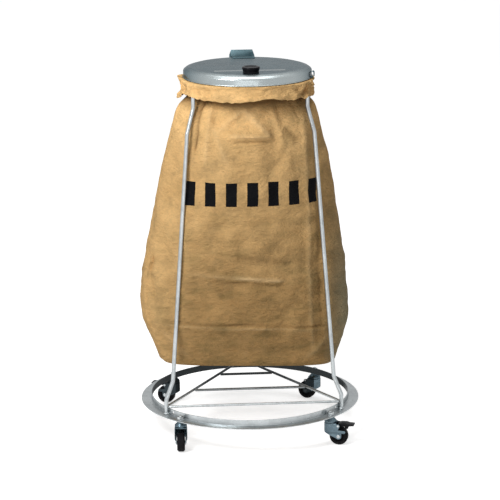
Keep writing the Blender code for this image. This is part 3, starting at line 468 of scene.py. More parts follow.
class NodeBoard:
    """Adds and links the nodes of one shader tree."""

    def __init__(self, tree: bpy.types.NodeTree) -> None:
        """Keep the tree that the nodes go into."""
        self.tree = tree

    def feed(self, socket: Socket, value: object) -> None:
        """Link a socket to another one, or set its value.

        Args:
            socket: Input of a node.
            value: Output of another node, or a plain value.
        """
        if isinstance(value, Socket):
            self.tree.links.new(value, socket)
        else:
            socket.default_value = value

    def add(self, kind: str, **settings: object) -> bpy.types.Node:
        """Add a node of a kind and set its properties.

        Args:
            kind: Type of the node.
            settings: Properties by name.

        Returns:
            The node.
        """
        node = self.tree.nodes.new(kind)
        for key, value in settings.items():
            setattr(node, key, value)
        return node

    def put(self, node: bpy.types.Node, **inputs: object) -> bpy.types.Node:
        """Set or link a node's inputs, with _ in a name standing for a space.

        Args:
            node: The node.
            inputs: Values or sockets by input name.

        Returns:
            The same node.
        """
        for key, value in inputs.items():
            self.feed(node.inputs[key.replace("_", " ")], value)
        return node

    def math(self, operation: str, first: object, second: object = 0.0,
             clamp: bool = False) -> Socket:
        """Add a Math node and return its value.

        Args:
            operation: Name of the operation.
            first: First value or socket.
            second: Second value or socket.
            clamp: Whether the result is kept from 0 to 1.

        Returns:
            The result's socket.
        """
        node = self.add("ShaderNodeMath", operation=operation, use_clamp=clamp)
        self.feed(node.inputs[0], first)
        self.feed(node.inputs[1], second)
        return node.outputs[0]

    def product(self, first: object, *others: object) -> object:
        """Multiply values one after the other and return the result.

        Args:
            first: First value or socket.
            others: What it is multiplied by.

        Returns:
            The result's socket.
        """
        for other in others:
            first = self.math("MULTIPLY", first, other)
        return first

    def weighed(self, first: Socket, second: Socket, share: float, clamp: bool = False) -> Socket:
        """Return a mean of two values in which the second has a share."""
        return self.math("ADD", self.product(first, 1.0 - share), self.product(second, share),
                         clamp)

    def offset(self, value: object, middle: object) -> Socket:
        """Return how far a value lies from a middle, to either side."""
        return self.math("ABSOLUTE", self.math("SUBTRACT", value, middle))

    def noise(self, vector: Socket, scale: object, detail: float = 3.0,
              roughness: float = 0.55) -> Socket:
        """Add a Noise Texture and return its factor.

        Args:
            vector: Place that is read.
            scale: Scale of the noise.
            detail: Number of octaves.
            roughness: Share of the finer octaves.

        Returns:
            The factor's socket.
        """
        node = self.add("ShaderNodeTexNoise")
        self.put(node, Vector=vector, Scale=scale, Detail=detail, Roughness=roughness)
        return node.outputs[0]

    def remap(self, value: Socket, low: object, high: object, to_low: float = 0.0,
              to_high: float = 1.0) -> Socket:
        """Add a clamped Map Range node and return its result.

        Args:
            value: Value that is read.
            low: Value that gives to_low.
            high: Value that gives to_high.
            to_low: First result.
            to_high: Second result.

        Returns:
            The result's socket.
        """
        node = self.add("ShaderNodeMapRange")
        self.put(node, Value=value, From_Min=low, From_Max=high, To_Min=to_low, To_Max=to_high)
        return node.outputs[0]

    def blend(self, share: object, first: object, second: object, mode: str = "MIX") -> Socket:
        """Mix two colours by a share and return the colour.

        Args:
            share: Share of the second colour.
            first: First colour.
            second: Second colour.
            mode: Blend mode.

        Returns:
            The colour's socket.
        """
        node = self.add("ShaderNodeMix", data_type="RGBA", blend_type=mode)
        for index, value in ((0, share), (6, first), (7, second)):
            self.feed(node.inputs[index], (*value, 1.0) if isinstance(value, tuple) else value)
        return node.outputs[2]

    def stretched(self, vector: Socket, scale: Point3) -> Socket:
        """Scale a vector by a Mapping node and return it."""
        return self.put(self.add("ShaderNodeMapping"), Vector=vector, Scale=scale).outputs[0]

    def parts(self, vector: Socket) -> bpy.types.NodeOutputs:
        """Split a vector into its parts X, Y and Z."""
        return self.put(self.add("ShaderNodeSeparateXYZ"), Vector=vector).outputs

    def length(self, vector: Socket) -> Socket:
        """Return the length of a vector."""
        node = self.add("ShaderNodeVectorMath", operation="LENGTH")
        return self.put(node, Vector=vector).outputs["Value"]


class Effects:
    """Node groups that several finishes share, built once. Each gives one mask."""

    # Keeps what is level of a vector, to measure how far it reaches from the Z axis
    LEVEL: Point3 = (1.0, 1.0, 0.0)

    def __init__(self) -> None:
        """Build the groups."""
        self.blotches = self._blotches()
        self.spangle = self._spangle()
        self.edge_wear = self._edge_wear()
        self.floor_dust = self._floor_dust()
        self.painted_shade_below = self._painted_shade_below()
        self.painted_rim_highlight = self._painted_rim_highlight()

    @staticmethod
    def _start(name: str, **numbers: float) -> tuple[NodeBoard, dict[str, Socket]]:
        """Begin a group.

        Args:
            name: Name of the group.
            numbers: Name and default of each input beside the vector.

        Returns:
            The group's board and its input sockets by name.
        """
        group = bpy.data.node_groups.new(name, "ShaderNodeTree")
        group.interface.new_socket(name="Vector", in_out="INPUT", socket_type="NodeSocketVector")
        for label, default in numbers.items():
            group.interface.new_socket(name=label, in_out="INPUT",
                                       socket_type="NodeSocketFloat").default_value = default
        group.interface.new_socket(name="Mask", in_out="OUTPUT", socket_type="NodeSocketFloat")
        board = NodeBoard(group)
        ways = board.add("NodeGroupInput").outputs
        return board, {label: ways[label] for label in ("Vector", *numbers)}

    @staticmethod
    def _end(board: NodeBoard, mask: Socket) -> bpy.types.NodeTree:
        """Lead a mask out of a group and return the group."""
        board.put(board.add("NodeGroupOutput"), Mask=mask)
        return board.tree

    def _blotches(self) -> bpy.types.NodeTree:
        """Build soft cloudy patches of two sizes."""
        board, ways = self._start("cloudy_patches", Scale=6.0, Low=0.35, High=0.65)
        wide = board.noise(ways["Vector"], ways["Scale"], 2.0)
        fine = board.noise(ways["Vector"], board.product(ways["Scale"], 4.3), 4.0)
        return self._end(board, board.remap(board.weighed(wide, fine, 0.3), ways["Low"],
                                            ways["High"]))

    def _spangle(self) -> bpy.types.NodeTree:
        """Build the frosty crystal patches of zinc."""
        board, ways = self._start("zinc_spangle", Scale=160.0)
        cells = board.put(board.add("ShaderNodeTexVoronoi"), Vector=ways["Vector"],
                          Scale=ways["Scale"])
        grey = board.put(board.add("ShaderNodeSeparateColor"), Color=cells.outputs["Color"])
        frost = board.noise(ways["Vector"], board.product(ways["Scale"], 2.7), 4.0)
        return self._end(board, board.weighed(grey.outputs[0], frost, 0.4))

    def _edge_wear(self) -> bpy.types.NodeTree:
        """Build a mask of convex edges, broken up by noise."""
        board, ways = self._start("edge_wear", Amount=0.5)
        shape = board.add("ShaderNodeNewGeometry")
        edge = board.remap(shape.outputs["Pointiness"], 0.51, 0.56)
        broken = board.remap(board.noise(ways["Vector"], 90.0, 4.0), 0.35, 0.62)
        return self._end(board, board.math("MULTIPLY", board.product(edge, broken),
                                           ways["Amount"], clamp=True))

    def _floor_dust(self) -> bpy.types.NodeTree:
        """Build a mask of dust that thins out with height above the floor."""
        board, ways = self._start("floor_dust", Reach=0.05)
        risen = board.math("DIVIDE", board.parts(ways["Vector"])["Z"], ways["Reach"])
        low = board.math("SUBTRACT", 1.0, risen, clamp=True)
        grain = board.remap(board.noise(ways["Vector"], 140.0, 5.0, 0.7), 0.42, 0.75)
        return self._end(board, board.math("MULTIPLY", low, grain, clamp=True))

    def _painted_rim_highlight(self) -> bpy.types.NodeTree:
        """Build a mask of the painted highlight on the front of the lid's shoulder and along its
        rib's crest.
        """
        board, ways = self._start("painted_rim_highlight", Radius=0.1505, Forward=0.080, Half=0.094,
                                  Crest=0.0078)
        parts = board.parts(ways["Vector"])
        reach = board.length(board.stretched(ways["Vector"], self.LEVEL))
        cloud = board.product(board.noise(ways["Vector"], 60.0, 3.0), 0.004)
        past = board.math("SUBTRACT", board.math("ADD", reach, cloud), ways["Radius"])
        ahead = board.remap(board.product(parts["Y"], -1.0), 0.02, 0.13)
        shoulder = board.product(board.remap(past, -0.003, 0.010), ahead)
        across = board.math("ABSOLUTE", board.math("ADD", parts["Y"], ways["Forward"]))
        along = board.math("ABSOLUTE", parts["X"])
        crest = board.product(board.math("LESS_THAN", across, ways["Crest"]),
                              board.math("LESS_THAN", along, ways["Half"]))
        return self._end(board, board.math("MAXIMUM", shoulder, crest))

    def _painted_shade_below(self) -> bpy.types.NodeTree:
        """Build a mask of painted shade inside the base ring, under the back of the bag."""
        board, ways = self._start("painted_shade_below", Radius=0.2712, Height=0.16)
        parts = board.parts(ways["Vector"])
        reach = board.length(board.stretched(ways["Vector"], self.LEVEL))
        inside = board.math("LESS_THAN", reach, ways["Radius"])
        low = board.math("LESS_THAN", parts["Z"], ways["Height"])
        cloud = board.product(board.noise(ways["Vector"], 14.0, 3.0), 0.12)
        behind = board.remap(board.math("ADD", parts["Y"], cloud), -0.05, 0.13)
        return self._end(board, board.product(inside, low, behind))


class Finish:
    """A procedural material for one material slot of the record."""

    # Refraction that keeps matt surfaces free of a hard shine
    MATT_IOR = 1.12
    # Dark and light patches of black rubber and plastic
    BLACK: tuple[Colour, Colour] = ((0.006, 0.006, 0.007), (0.012, 0.012, 0.014))

    def __init__(self, name: str, slot: Slot, effects: Effects) -> None:
        """Make the material and build its nodes.

        Args:
            name: Name of the material.
            slot: Slot of the record that it is meant for; it is kept as self.slot but not used.
            effects: Shared node groups.
        """
        self.slot = slot
        self.effects = effects
        self.material = bpy.data.materials.new(name)
        self.material.use_nodes = True
        self.board = NodeBoard(self.material.node_tree)
        self.shader = self.material.node_tree.nodes["Principled BSDF"]
        self.place = self.board.add("ShaderNodeTexCoord").outputs["Object"]
        self.dress()

    def dress(self) -> None:
        """Build the material's nodes."""
        raise NotImplementedError

    def effect(self, group: bpy.types.NodeTree, **inputs: object) -> Socket:
        """Place a shared group that reads the piece's place, and return its mask."""
        node = self.board.add("ShaderNodeGroup", node_tree=group)
        return self.board.put(node, Vector=self.place, **inputs).outputs["Mask"]

    def patches(self, scale: float, low: float, high: float) -> Socket:
        """Return the mask of cloudy patches of a scale, cut off at two levels."""
        return self.effect(self.effects.blotches, Scale=scale, Low=low, High=high)

    def grain(self, stretch: Point3, detail: float, roughness: float) -> Socket:
        """Return noise that is stretched along the piece's axes."""
        return self.board.noise(self.board.stretched(self.place, stretch), 1.0, detail, roughness)

    def bump(self, height: Socket, strength: float, depth: float,
             under: Socket | None = None) -> Socket:
        """Add a Bump node.

        Args:
            height: Height that it reads.
            strength: Strength from 0 to 1.
            depth: Depth in metres.
            under: Normal that it adds to.

        Returns:
            The bent normal.
        """
        node = self.board.add("ShaderNodeBump")
        self.board.put(node, Strength=strength, Distance=depth, Height=height)
        if under is not None:
            self.board.put(node, Normal=under)
        return node.outputs[0]


@dataclass(frozen=True)
class MetalTone:
    """Colours and surface of one sheet or rod metal."""

    bright: Colour
    dull: Colour
    dirt: Colour
    rough: Point2
    spangle_scale: float
    spangle_share: float
    streaks: Point3
    metallic: float = 0.92
    edge_tint: float = 0.6
    # Colour of the painted highlight on the lid's shoulder front and rib crest
    rim: Colour | None = None


class MetalFinish(Finish):
    """Zinc-coated steel with spangle, cloudy patches, drawing streaks and edge wear, painted shade
    inside the base ring at the back and a painted highlight on the lid's shoulder front and rib
    crest.
    """

    # Colour and share of the painted shade inside the base ring at the back
    SHADE_BELOW_COLOUR: Colour = (0.012, 0.016, 0.018)
    SHADE_BELOW_SHARE = 0.95
    WEAR_AMOUNT = 0.5
    WEAR_GAIN = 1.25
    STAIN_SHARE = 0.35

    def __init__(self, name: str, slot: Slot, effects: Effects, tone: MetalTone) -> None:
        """Keep the tone and make the material."""
        self.tone = tone
        super().__init__(name, slot, effects)

    def dress(self) -> None:
        """Build the metal's nodes."""
        board, tone, effects = self.board, self.tone, self.effects
        flake = self.effect(effects.spangle, Scale=tone.spangle_scale)
        drawn = self.grain(tone.streaks, 4.0, 0.6)
        share = board.weighed(self.patches(9.0, 0.36, 0.64), flake, tone.spangle_share, clamp=True)
        base = board.blend(share, tone.dull, tone.bright)
        wear = self.effect(effects.edge_wear, Amount=self.WEAR_AMOUNT)
        base = board.blend(wear, base, tuple(min(1.0, c * self.WEAR_GAIN) for c in tone.bright))
        stain = board.remap(self.patches(26.0, 0.52, 0.72), 0.0, 1.0, 0.0, self.STAIN_SHARE)
        base = board.blend(stain, base, tone.dirt)
        # Painted highlight on the front of the lid's shoulder and on its rib's crest
        if tone.rim:
            base = board.blend(self.effect(effects.painted_rim_highlight), base, tone.rim)
        # Painted shade: steel inside the ring, low down and towards the back, is darkened
        shade = board.product(self.effect(effects.painted_shade_below), self.SHADE_BELOW_SHARE)
        base = board.blend(shade, base, self.SHADE_BELOW_COLOUR)
        skin = self.bump(flake, 0.12, 0.0002, self.bump(drawn, 0.25, 0.0003))
        rough = board.remap(board.weighed(drawn, flake, 0.4), 0.25, 0.75, *tone.rough)
        board.put(self.shader, Base_Color=base, Roughness=rough, Metallic=tone.metallic,
                  Normal=skin, Specular_Tint=(tone.edge_tint,) * 3 + (1.0,))


@dataclass(frozen=True)
class PrintRow:
    """A row of plain upright blocks printed on the bag, measured along its surface."""

    blocks: int = 7
    pitch: float = 0.0562
    width: float = 0.0290
    height: float = 0.0640
    centre: float = 0.0070
    middle: float = 0.6790


class KraftFinish(Finish):
    """Tan kraft paper with fibres, cloudy tone, crinkles and a row of printed blocks, with painted
    shade and highlights on its folds, painted shade under its top band, lower down, on its right
    side and along its crinkle lines.
    """

    LIGHT: Colour = (0.930, 0.585, 0.255)
    MIDDLE: Colour = (0.800, 0.490, 0.205)
    # Painted shade multiplied in under the bag's upper band
    FALLOFF_SHADE: Colour = (0.780, 0.780, 0.775)
    # Painted shade in fold valleys and painted highlight on fold crests
    SHADE: Colour = (0.150, 0.125, 0.100)
    FOLD_HIGHLIGHT: Colour = (0.86, 0.62, 0.34)
    # Tone of the random patches and fibres, also used as painted shade along crinkle lines
    DARK: Colour = (0.330, 0.225, 0.105)
    # Painted shade, darker and greyer towards the bottom
    LOW_SHADE_TINT: Colour = (0.620, 0.590, 0.540)
    OLIVE: Colour = (0.600, 0.650, 0.630)
    # Painted shade, deep olive, low on the bag's right side
    RIGHT_SIDE_SHADE: Colour = (0.330, 0.320, 0.220)
    INK: Colour = (0.006, 0.006, 0.007)
    FIBRE: Point3 = (900.0, 900.0, 160.0)
    WEAVE: Point3 = (130.0, 130.0, 2400.0)
    MOTTLE: Point3 = (15.0, 15.0, 34.0)
    SPECK: Point3 = (60.0, 60.0, 110.0)
    WRINKLE: Point3 = (34.0, 34.0, 62.0)
    CRINKLE: Point3 = (75.0, 75.0, 130.0)

    def __init__(self, name: str, slot: Slot, effects: Effects, row: PrintRow) -> None:
        """Keep the print's sizes and make the material."""
        self.row = row
        super().__init__(name, slot, effects)

    def dress(self) -> None:
        """Build the paper's nodes."""
        board = self.board
        cloud = self.patches(7.0, 0.38, 0.62)
        fibre = self.grain(self.FIBRE, 3.0, 0.6)
        ridge = board.offset(self.grain(self.WRINKLE, 5.0, 0.62), 0.5)
        base = self.folded(self.shaded_tone(cloud, fibre, ridge))
        ink = board.product(self.printed(), board.remap(fibre, 0.18, 0.30, 0.55, 1.0))
        base = board.blend(ink, base, self.INK)
        threads = board.math("ADD", fibre, self.grain(self.WEAVE, 2.0, 0.5))
        skin = self.bump(ridge, 0.80, 0.011)
        skin = self.bump(self.grain(self.CRINKLE, 5.0, 0.65), 0.55, 0.005, skin)
        skin = self.bump(threads, 0.22, 0.0006, skin)
        board.put(self.shader, Base_Color=base, Normal=skin, IOR=self.MATT_IOR,
                  Roughness=board.remap(cloud, 0.0, 1.0, 0.62, 0.78))

    def shaded_tone(self, cloud: Socket, fibre: Socket, ridge: Socket) -> Socket:
        """Return the paper's tone with painted shade: darker, greyer and greener towards the
        bottom, less so on the left side, deep olive low on the right side, and darker along fine
        crinkle lines.

        Args:
            cloud: Mask of soft patches.
            fibre: Noise of the fibres.
            ridge: Distance from the lines of fine ridges.

        Returns:
            The colour, without folds and print.
        """
        board = self.board
        parts = board.parts(self.place)
        side, height = parts["X"], parts["Z"]
        base = board.blend(cloud, self.MIDDLE, self.LIGHT)
        base = board.blend(board.product(self.patches(17.0, 0.50, 0.68), 0.40), base, self.DARK)
        # Painted shade: all under the upper band is darker
        base = board.blend(board.remap(height, 0.87, 0.77), base, self.FALLOFF_SHADE, "MULTIPLY")
        # Painted shade towards the bottom, weaker on the left side
        bottom_shade = board.remap(board.math("ADD", height, board.product(cloud, 0.06)), 0.72, 0.42)
        bottom_shade = board.product(bottom_shade, board.remap(side, -0.26, -0.16, 0.20, 1.0))
        base = board.blend(bottom_shade, base, self.LOW_SHADE_TINT, "MULTIPLY")
        mottle = board.remap(self.grain(self.MOTTLE, 4.0, 0.6), 0.47, 0.66)
        speck = board.remap(self.grain(self.SPECK, 4.0, 0.65), 0.50, 0.64, 0.0, 0.55)
        olive = board.product(board.math("MAXIMUM", mottle, speck),
                              board.remap(bottom_shade, 0.0, 1.0, 0.35, 0.95))
        base = board.blend(olive, base, self.OLIVE, "MULTIPLY")
        # Painted shade: deep olive low on the right side
        right_shade = board.product(board.remap(side, 0.19, 0.25), bottom_shade, 0.65)
        base = board.blend(right_shade, base, self.RIGHT_SIDE_SHADE)
        # Painted shade along the fine crinkle lines
        base = board.blend(board.remap(ridge, 0.0, 0.030, 0.30, 0.0), base, self.DARK)
        return board.blend(board.remap(fibre, 0.3, 0.7, 0.0, 0.22), base, self.DARK)

    def folded(self, base: Socket) -> Socket:
        """Add painted highlights on the folds' crests and painted shade in their valleys to a
        tone.

        Args:
            base: The paper's tone.

        Returns:
            The colour with its folds' painted highlights and shade.
        """
        board = self.board
        crease = board.add("ShaderNodeAttribute", attribute_name="crease").outputs["Fac"]
        crest = board.math("MULTIPLY", crease, 0.55, clamp=True)
        valley = board.math("MULTIPLY", crease, -0.95, clamp=True)
        return board.blend(valley, board.blend(crest, base, self.FOLD_HIGHLIGHT), self.SHADE, "MULTIPLY")

    def printed(self) -> Socket:
        """Return the mask of the printed blocks, read from the paper's own UV map."""
        board, row = self.board, self.row
        parts = board.parts(board.add("ShaderNodeUVMap", uv_map="paper").outputs[0])
        along = board.math("SUBTRACT", parts["X"], row.centre)
        step = board.math("ROUND", board.math("DIVIDE", along, row.pitch))
        inside = board.math("LESS_THAN", board.offset(along, board.product(step, row.pitch)),
                            row.width / 2.0)
        counted = board.math("LESS_THAN", board.math("ABSOLUTE", step), row.blocks / 2.0)
        level = board.math("LESS_THAN", board.offset(parts["Y"], row.middle), row.height / 2.0)
        return board.product(inside, counted, level)


class RubberFinish(Finish):
    """Black tyre rubber with a matt moulded skin and floor dust."""

    DUST: Colour = (0.07, 0.065, 0.06)

    def dress(self) -> None:
        """Build the rubber's nodes."""
        board = self.board
        cloud = self.patches(40.0, 0.40, 0.66)
        dust = board.product(self.effect(self.effects.floor_dust, Reach=0.045), 0.55)
        base = board.blend(dust, board.blend(cloud, *self.BLACK), self.DUST)
        skin = self.bump(board.noise(self.place, 900.0, 3.0), 0.25, 0.0003)
        board.put(self.shader, Base_Color=base, Normal=skin, IOR=self.MATT_IOR,
                  Roughness=board.remap(cloud, 0.0, 1.0, 0.50, 0.68))


class PlasticFinish(Finish):
    """Black moulded plastic with a fine grain, scuffed edges and a soft gloss."""

    SCUFF: Colour = (0.045, 0.045, 0.048)

    def dress(self) -> None:
        """Build the plastic's nodes."""
        board = self.board
        cloud = self.patches(60.0, 0.40, 0.64)
        wear = self.effect(self.effects.edge_wear, Amount=0.6)
        base = board.blend(wear, board.blend(cloud, *self.BLACK), self.SCUFF)
        skin = self.bump(board.noise(self.place, 1400.0, 2.0), 0.12, 0.0002)
        board.put(self.shader, Base_Color=base, Normal=skin, IOR=self.MATT_IOR,
                  Roughness=board.remap(cloud, 0.0, 1.0, 0.26, 0.40))


@dataclass
class FinishSet:
    """The finishes of the whole object."""

    zinc: Finish
    lid: Finish
    hinge: Finish
    blue: Finish
    # Blue zinc with painted shade, for the castor in the bag's shadow
    painted_shade: Finish
    paper: Finish
    rubber: Finish
    plastic: Finish

    @classmethod
    def build(cls) -> FinishSet:
        """Make the shared effects and every finish."""
        effects = Effects()
        rod = MetalTone(bright=(0.52, 0.55, 0.56), dull=(0.33, 0.355, 0.365),
                        dirt=(0.18, 0.19, 0.19), rough=(0.24, 0.44), spangle_scale=210.0,
                        spangle_share=0.45, streaks=(160.0, 160.0, 24.0))
        lid = MetalTone(bright=(0.104, 0.165, 0.190), dull=(0.078, 0.125, 0.148),
                        dirt=(0.07, 0.09, 0.10), rough=(0.22, 0.34), spangle_scale=120.0,
                        spangle_share=0.20, streaks=(18.0, 260.0, 60.0), metallic=0.90,
                        edge_tint=0.5, rim=(0.37, 0.41, 0.415))
        hinge = replace(lid, bright=(0.130, 0.205, 0.230), dull=(0.090, 0.145, 0.165),
                        dirt=(0.06, 0.08, 0.09), rough=(0.26, 0.38), edge_tint=0.3, rim=None)
        blue = MetalTone(bright=(0.145, 0.200, 0.230), dull=(0.080, 0.115, 0.140),
                         dirt=(0.06, 0.07, 0.06), rough=(0.20, 0.38), spangle_scale=380.0,
                         spangle_share=0.35, streaks=(60.0, 60.0, 420.0), edge_tint=0.4)
        # A painted-shade copy of the blue zinc, for the castor in the bag's shadow
        painted_shade = replace(blue, bright=(0.050, 0.065, 0.072), dull=(0.016, 0.020, 0.022),
                       dirt=(0.010, 0.011, 0.012), rough=(0.26, 0.44), edge_tint=0.3)
        return cls(
            MetalFinish("galvanised_rod", Slot.ZINC, effects, rod),
            MetalFinish("coated_lid_sheet", Slot.LID, effects, lid),
            MetalFinish("hinge_sheet", Slot.LID, effects, hinge),
            MetalFinish("blue_passivated_zinc", Slot.BLUE, effects, blue),
            MetalFinish("blue_zinc_painted_shade", Slot.BLUE, effects, painted_shade),
            KraftFinish("kraft_paper", Slot.PAPER, effects, PrintRow()),
            RubberFinish("tyre_rubber", Slot.RUBBER, effects),
            PlasticFinish("moulded_black_plastic", Slot.PLASTIC, effects))


# ---------------------------------------------------------------- studio


@dataclass(frozen=True)
class Lamp:
    """A soft rectangular lamp: its place, its aim, its width and height, and its watts."""

    name: str
    stand: Point3
    aim: Point3
    size: Point2
    power: float

    def build(self) -> None:
        """Make the lamp."""
        data = bpy.data.lights.new(self.name, "AREA")
        data.shape = "RECTANGLE"
        data.size, data.size_y = self.size
        data.energy = self.power
        way = Vector(self.aim) - Vector(self.stand)
        linked(self.name, data).matrix_world = shift(*self.stand) @ turn_to(way, "-Z")


@dataclass
class Studio:
    """Camera, lamps, floor and world."""

    azimuth: float = -4.4
    elevation: float = 13.8734
    distance: float = 6.08037
    focal: float = 2230.135
    roll: float = -0.44779
    aim_right: float = 0.003179
    aim_height: float = 0.493463
    frame_pixels: float = 500.0
    sensor: float = 36.0
    floor_size: float = 80.0
    floor_grey: float = 0.86
    glow_reach: Point2 = (0.45, 2.4)
    glow: Point2 = (0.64, 0.85)
    world_light: float = 0.18
    lamps: tuple[Lamp, ...] = (
        Lamp("key_softbox", (-1.15, -1.35, 1.85), (0.0, 0.0, 0.75), (0.8, 0.8), 37.0),
        Lamp("overhead_softbox", (0.0, 0.35, 3.2), (0.0, 0.35, 0.9), (1.8, 2.4), 34.0),
        Lamp("low_front_strip", (-0.4, -4.3, 0.35), (0.0, 0.0, 0.6), (3.2, 0.5), 11.0))

    def build(self) -> None:
        """Make the whole studio."""
        bpy.context.scene.view_settings.view_transform = "Standard"
        self.make_camera()
        self.make_floor()
        self.make_world()
        for lamp in self.lamps:
            lamp.build()

    def make_camera(self) -> None:
        """Make the camera at the photograph's angle."""
        azimuth, elevation = math.radians(self.azimuth), math.radians(self.elevation)
        back = Vector((math.sin(azimuth) * math.cos(elevation),
                       -math.cos(azimuth) * math.cos(elevation), math.sin(elevation)))
        right = Vector((math.cos(azimuth), math.sin(azimuth), 0.0))
        stand = (right * self.aim_right + Vector((0.0, 0.0, self.aim_height))
                 + back * self.distance)
        data = bpy.data.cameras.new("camera")
        data.sensor_width = self.sensor
        data.lens = self.focal * self.sensor / self.frame_pixels
        camera = linked("camera", data)
        axes = Matrix((right, back.cross(right), back)).transposed().to_4x4()
        camera.matrix_world = Matrix.Translation(stand) @ axes @ turn_about(Axis.Z, self.roll)
        bpy.context.scene.camera = camera

    def make_floor(self) -> None:
        """Make a plain pale floor that keeps a trace of the object's shadow."""
        shape = bmesh.new()
        bmesh.ops.create_grid(shape, x_segments=1, y_segments=1, size=self.floor_size / 2.0)
        mesh = mesh_of(shape, "floor")
        floor = linked("floor", mesh)
        material = bpy.data.materials.new("pale_floor")
        material.use_nodes = True
        board = NodeBoard(material.node_tree)
        path = board.add("ShaderNodeLightPath").outputs
        seen = board.math("MAXIMUM", path["Is Camera Ray"], path["Is Glossy Ray"])
        away = board.length(board.add("ShaderNodeTexCoord").outputs["Object"])
        board.put(material.node_tree.nodes["Principled BSDF"], Roughness=0.9,
                  Base_Color=(self.floor_grey,) * 3 + (1.0,), Emission_Color=(1.0,) * 4,
                  Emission_Strength=board.product(
                      seen, board.remap(away, *self.glow_reach, *self.glow)),
                  Specular_IOR_Level=0.0)
        mesh.materials.append(material)

    def make_world(self) -> None:
        """Make a world that is white where it is seen and soft where it lights."""
        world = bpy.data.worlds.new("studio")
        bpy.context.scene.world = world
        world.use_nodes = True
        board = NodeBoard(world.node_tree)
        path = board.add("ShaderNodeLightPath").outputs
        seen = board.math("MAXIMUM", path["Is Camera Ray"], board.math(
            "MAXIMUM", path["Is Glossy Ray"], path["Is Transmission Ray"]))
        board.put(world.node_tree.nodes["Background"], Color=(1.0,) * 4,
                  Strength=board.remap(seen, 0.0, 1.0, self.world_light, 1.0))


# ---------------------------------------------------------------- steel stand


@dataclass(frozen=True)
class StandSizes:
    """Sizes of the rings, legs and rods that several assemblies share."""

    ring_radius: float = 0.300
    flange: float = 0.030
    wall: float = 0.018
    sheet: float = 0.0025
    flange_under: float = 0.0780
    leg_radius: float = 0.0055
    rod_radius: float = 0.0035
    top_ring_radius: float = 0.1655
    top_ring_rod: float = 0.006
    top_ring_height: float = 0.8844
    paper: float = 0.001
    castor_circle: float = 0.28525
    knee_low: float = 0.039
    knee_high: float = 0.087
    knee_in: float = 0.0225
    neck_low: float = 0.128
    neck_high: float = 0.061
    neck_out: float = 0.0205
    leg_rise: float = 0.1
    leg_angles: dict[str, float] = field(
        default_factory=lambda: {"left": -58.5, "right": 58.5, "rear": 180.0})

    @property
    def flange_top(self) -> float:
        """Height of the flange's upper face."""
        return self.flange_under + self.sheet

    @property
    def wall_top(self) -> float:
        """Height of the wall's upper edge."""
        return self.flange_under + self.wall

    @property
    def wall_inner(self) -> float:
        """Radius of the wall's inner face."""
        return self.ring_radius - self.flange

    @property
    def wall_outer(self) -> float:
        """Radius of the wall's outer face."""
        return self.wall_inner + self.sheet

    @property
    def foot_radius(self) -> float:
        """Radius at which the legs stand."""
        return self.wall_outer + GAP + self.leg_radius

    @property
    def leg_top_radius(self) -> float:
        """Radius of the legs' upper ends."""
        return self.ring_outside + GAP + self.leg_radius

    @property
    def ring_outside(self) -> float:
        """Outer radius of the top ring."""
        return self.top_ring_radius + self.top_ring_rod

    @property
    def leg_outside(self) -> float:
        """Outer radius of the legs' upper ends."""
        return self.leg_top_radius + self.leg_radius

    @property
    def top_ring_z(self) -> float:
        """Height of the top ring's centre line."""
        return self.flange_top + self.top_ring_height

    @property
    def rods_z(self) -> float:
        """Height of the grid rods' centre lines."""
        return self.wall_top + GAP + self.rod_radius

    @property
    def paper_top(self) -> float:
        """Height of the paper's highest line over the top ring."""
        return self.top_ring_z + self.top_ring_rod + GAP + self.paper

    @property
    def paper_line(self) -> float:
        """Height of the middle of the paper over the top ring."""
        return self.paper_top - self.paper / 2.0

    @property
    def neck_z(self) -> float:
        """Height at which the bag's body begins, below the top ring."""
        return self.top_ring_z - 2.0 * self.top_ring_rod

    def leg_corners(self) -> list[Point2]:
        """Return a leg's corners as radius and height, from the flange up."""
        top = self.top_ring_z + self.top_ring_rod * self.leg_rise
        foot = self.flange_top + GAP
        return [
            (self.foot_radius, foot), (self.foot_radius, foot + self.knee_low),
            (self.foot_radius - self.knee_in, foot + self.knee_high),
            (self.leg_top_radius + self.neck_out, top - self.neck_low),
            (self.leg_top_radius, top - self.neck_high), (self.leg_top_radius, top)]

    def leg_radius_at(self, height: float) -> float:
        """Return the distance of a leg's centre line from the axis at a height.

        Args:
            height: Height above the floor.

        Returns:
            The distance in metres.
        """
        corners = self.leg_corners()
        for (low_r, low_z), (high_r, high_z) in zip(corners, corners[1:]):
            if height <= high_z:
                share = max(0.0, (height - low_z) / (high_z - low_z))
                return low_r + (high_r - low_r) * share
        return corners[-1][0]


STAND = StandSizes()


@dataclass
class BaseRing:
    """The rolled angle-steel ring with its vents and stud holes."""

    finishes: FinishSet
    sides: int = 192
    corner: float = 0.0011
    stud_hole: float = 0.0056
    vent_radius: float = 0.0035
    vent_spacing: float = 0.022
    castor_places: tuple[float, ...] = (-45.0, 45.0, 135.0, -135.0)

    def build(self) -> None:
        """Spin the angle, drill it and round its edges."""
        size = STAND
        ring = spun(softened([
            (size.wall_inner, size.wall_top), (size.wall_outer, size.wall_top),
            (size.wall_outer, size.flange_top), (size.ring_radius, size.flange_top),
            (size.ring_radius, size.flange_under), (size.wall_inner, size.flange_under),
        ], self.corner, 3, closed=True), self.sides)
        tools = [placed(drill(self.stud_hole),
                        shift(*around(size.castor_circle, place, size.flange_top)))
                 for place in self.castor_places]
        step = math.degrees(self.vent_spacing / size.wall_outer)
        height = (size.flange_top + size.wall_top) / 2.0
        for foot in size.leg_angles.values():
            for place in (foot - step, foot + step):
                tools.append(placed(drill(self.vent_radius),
                                    shift(*around(size.wall_inner, place, height)),
                                    turn_about(Axis.Z, place), turn_about(Axis.X, 90.0)))
        publish(carved(ring, tools), "angle_ring", self.finishes.zinc, ["base_ring"])


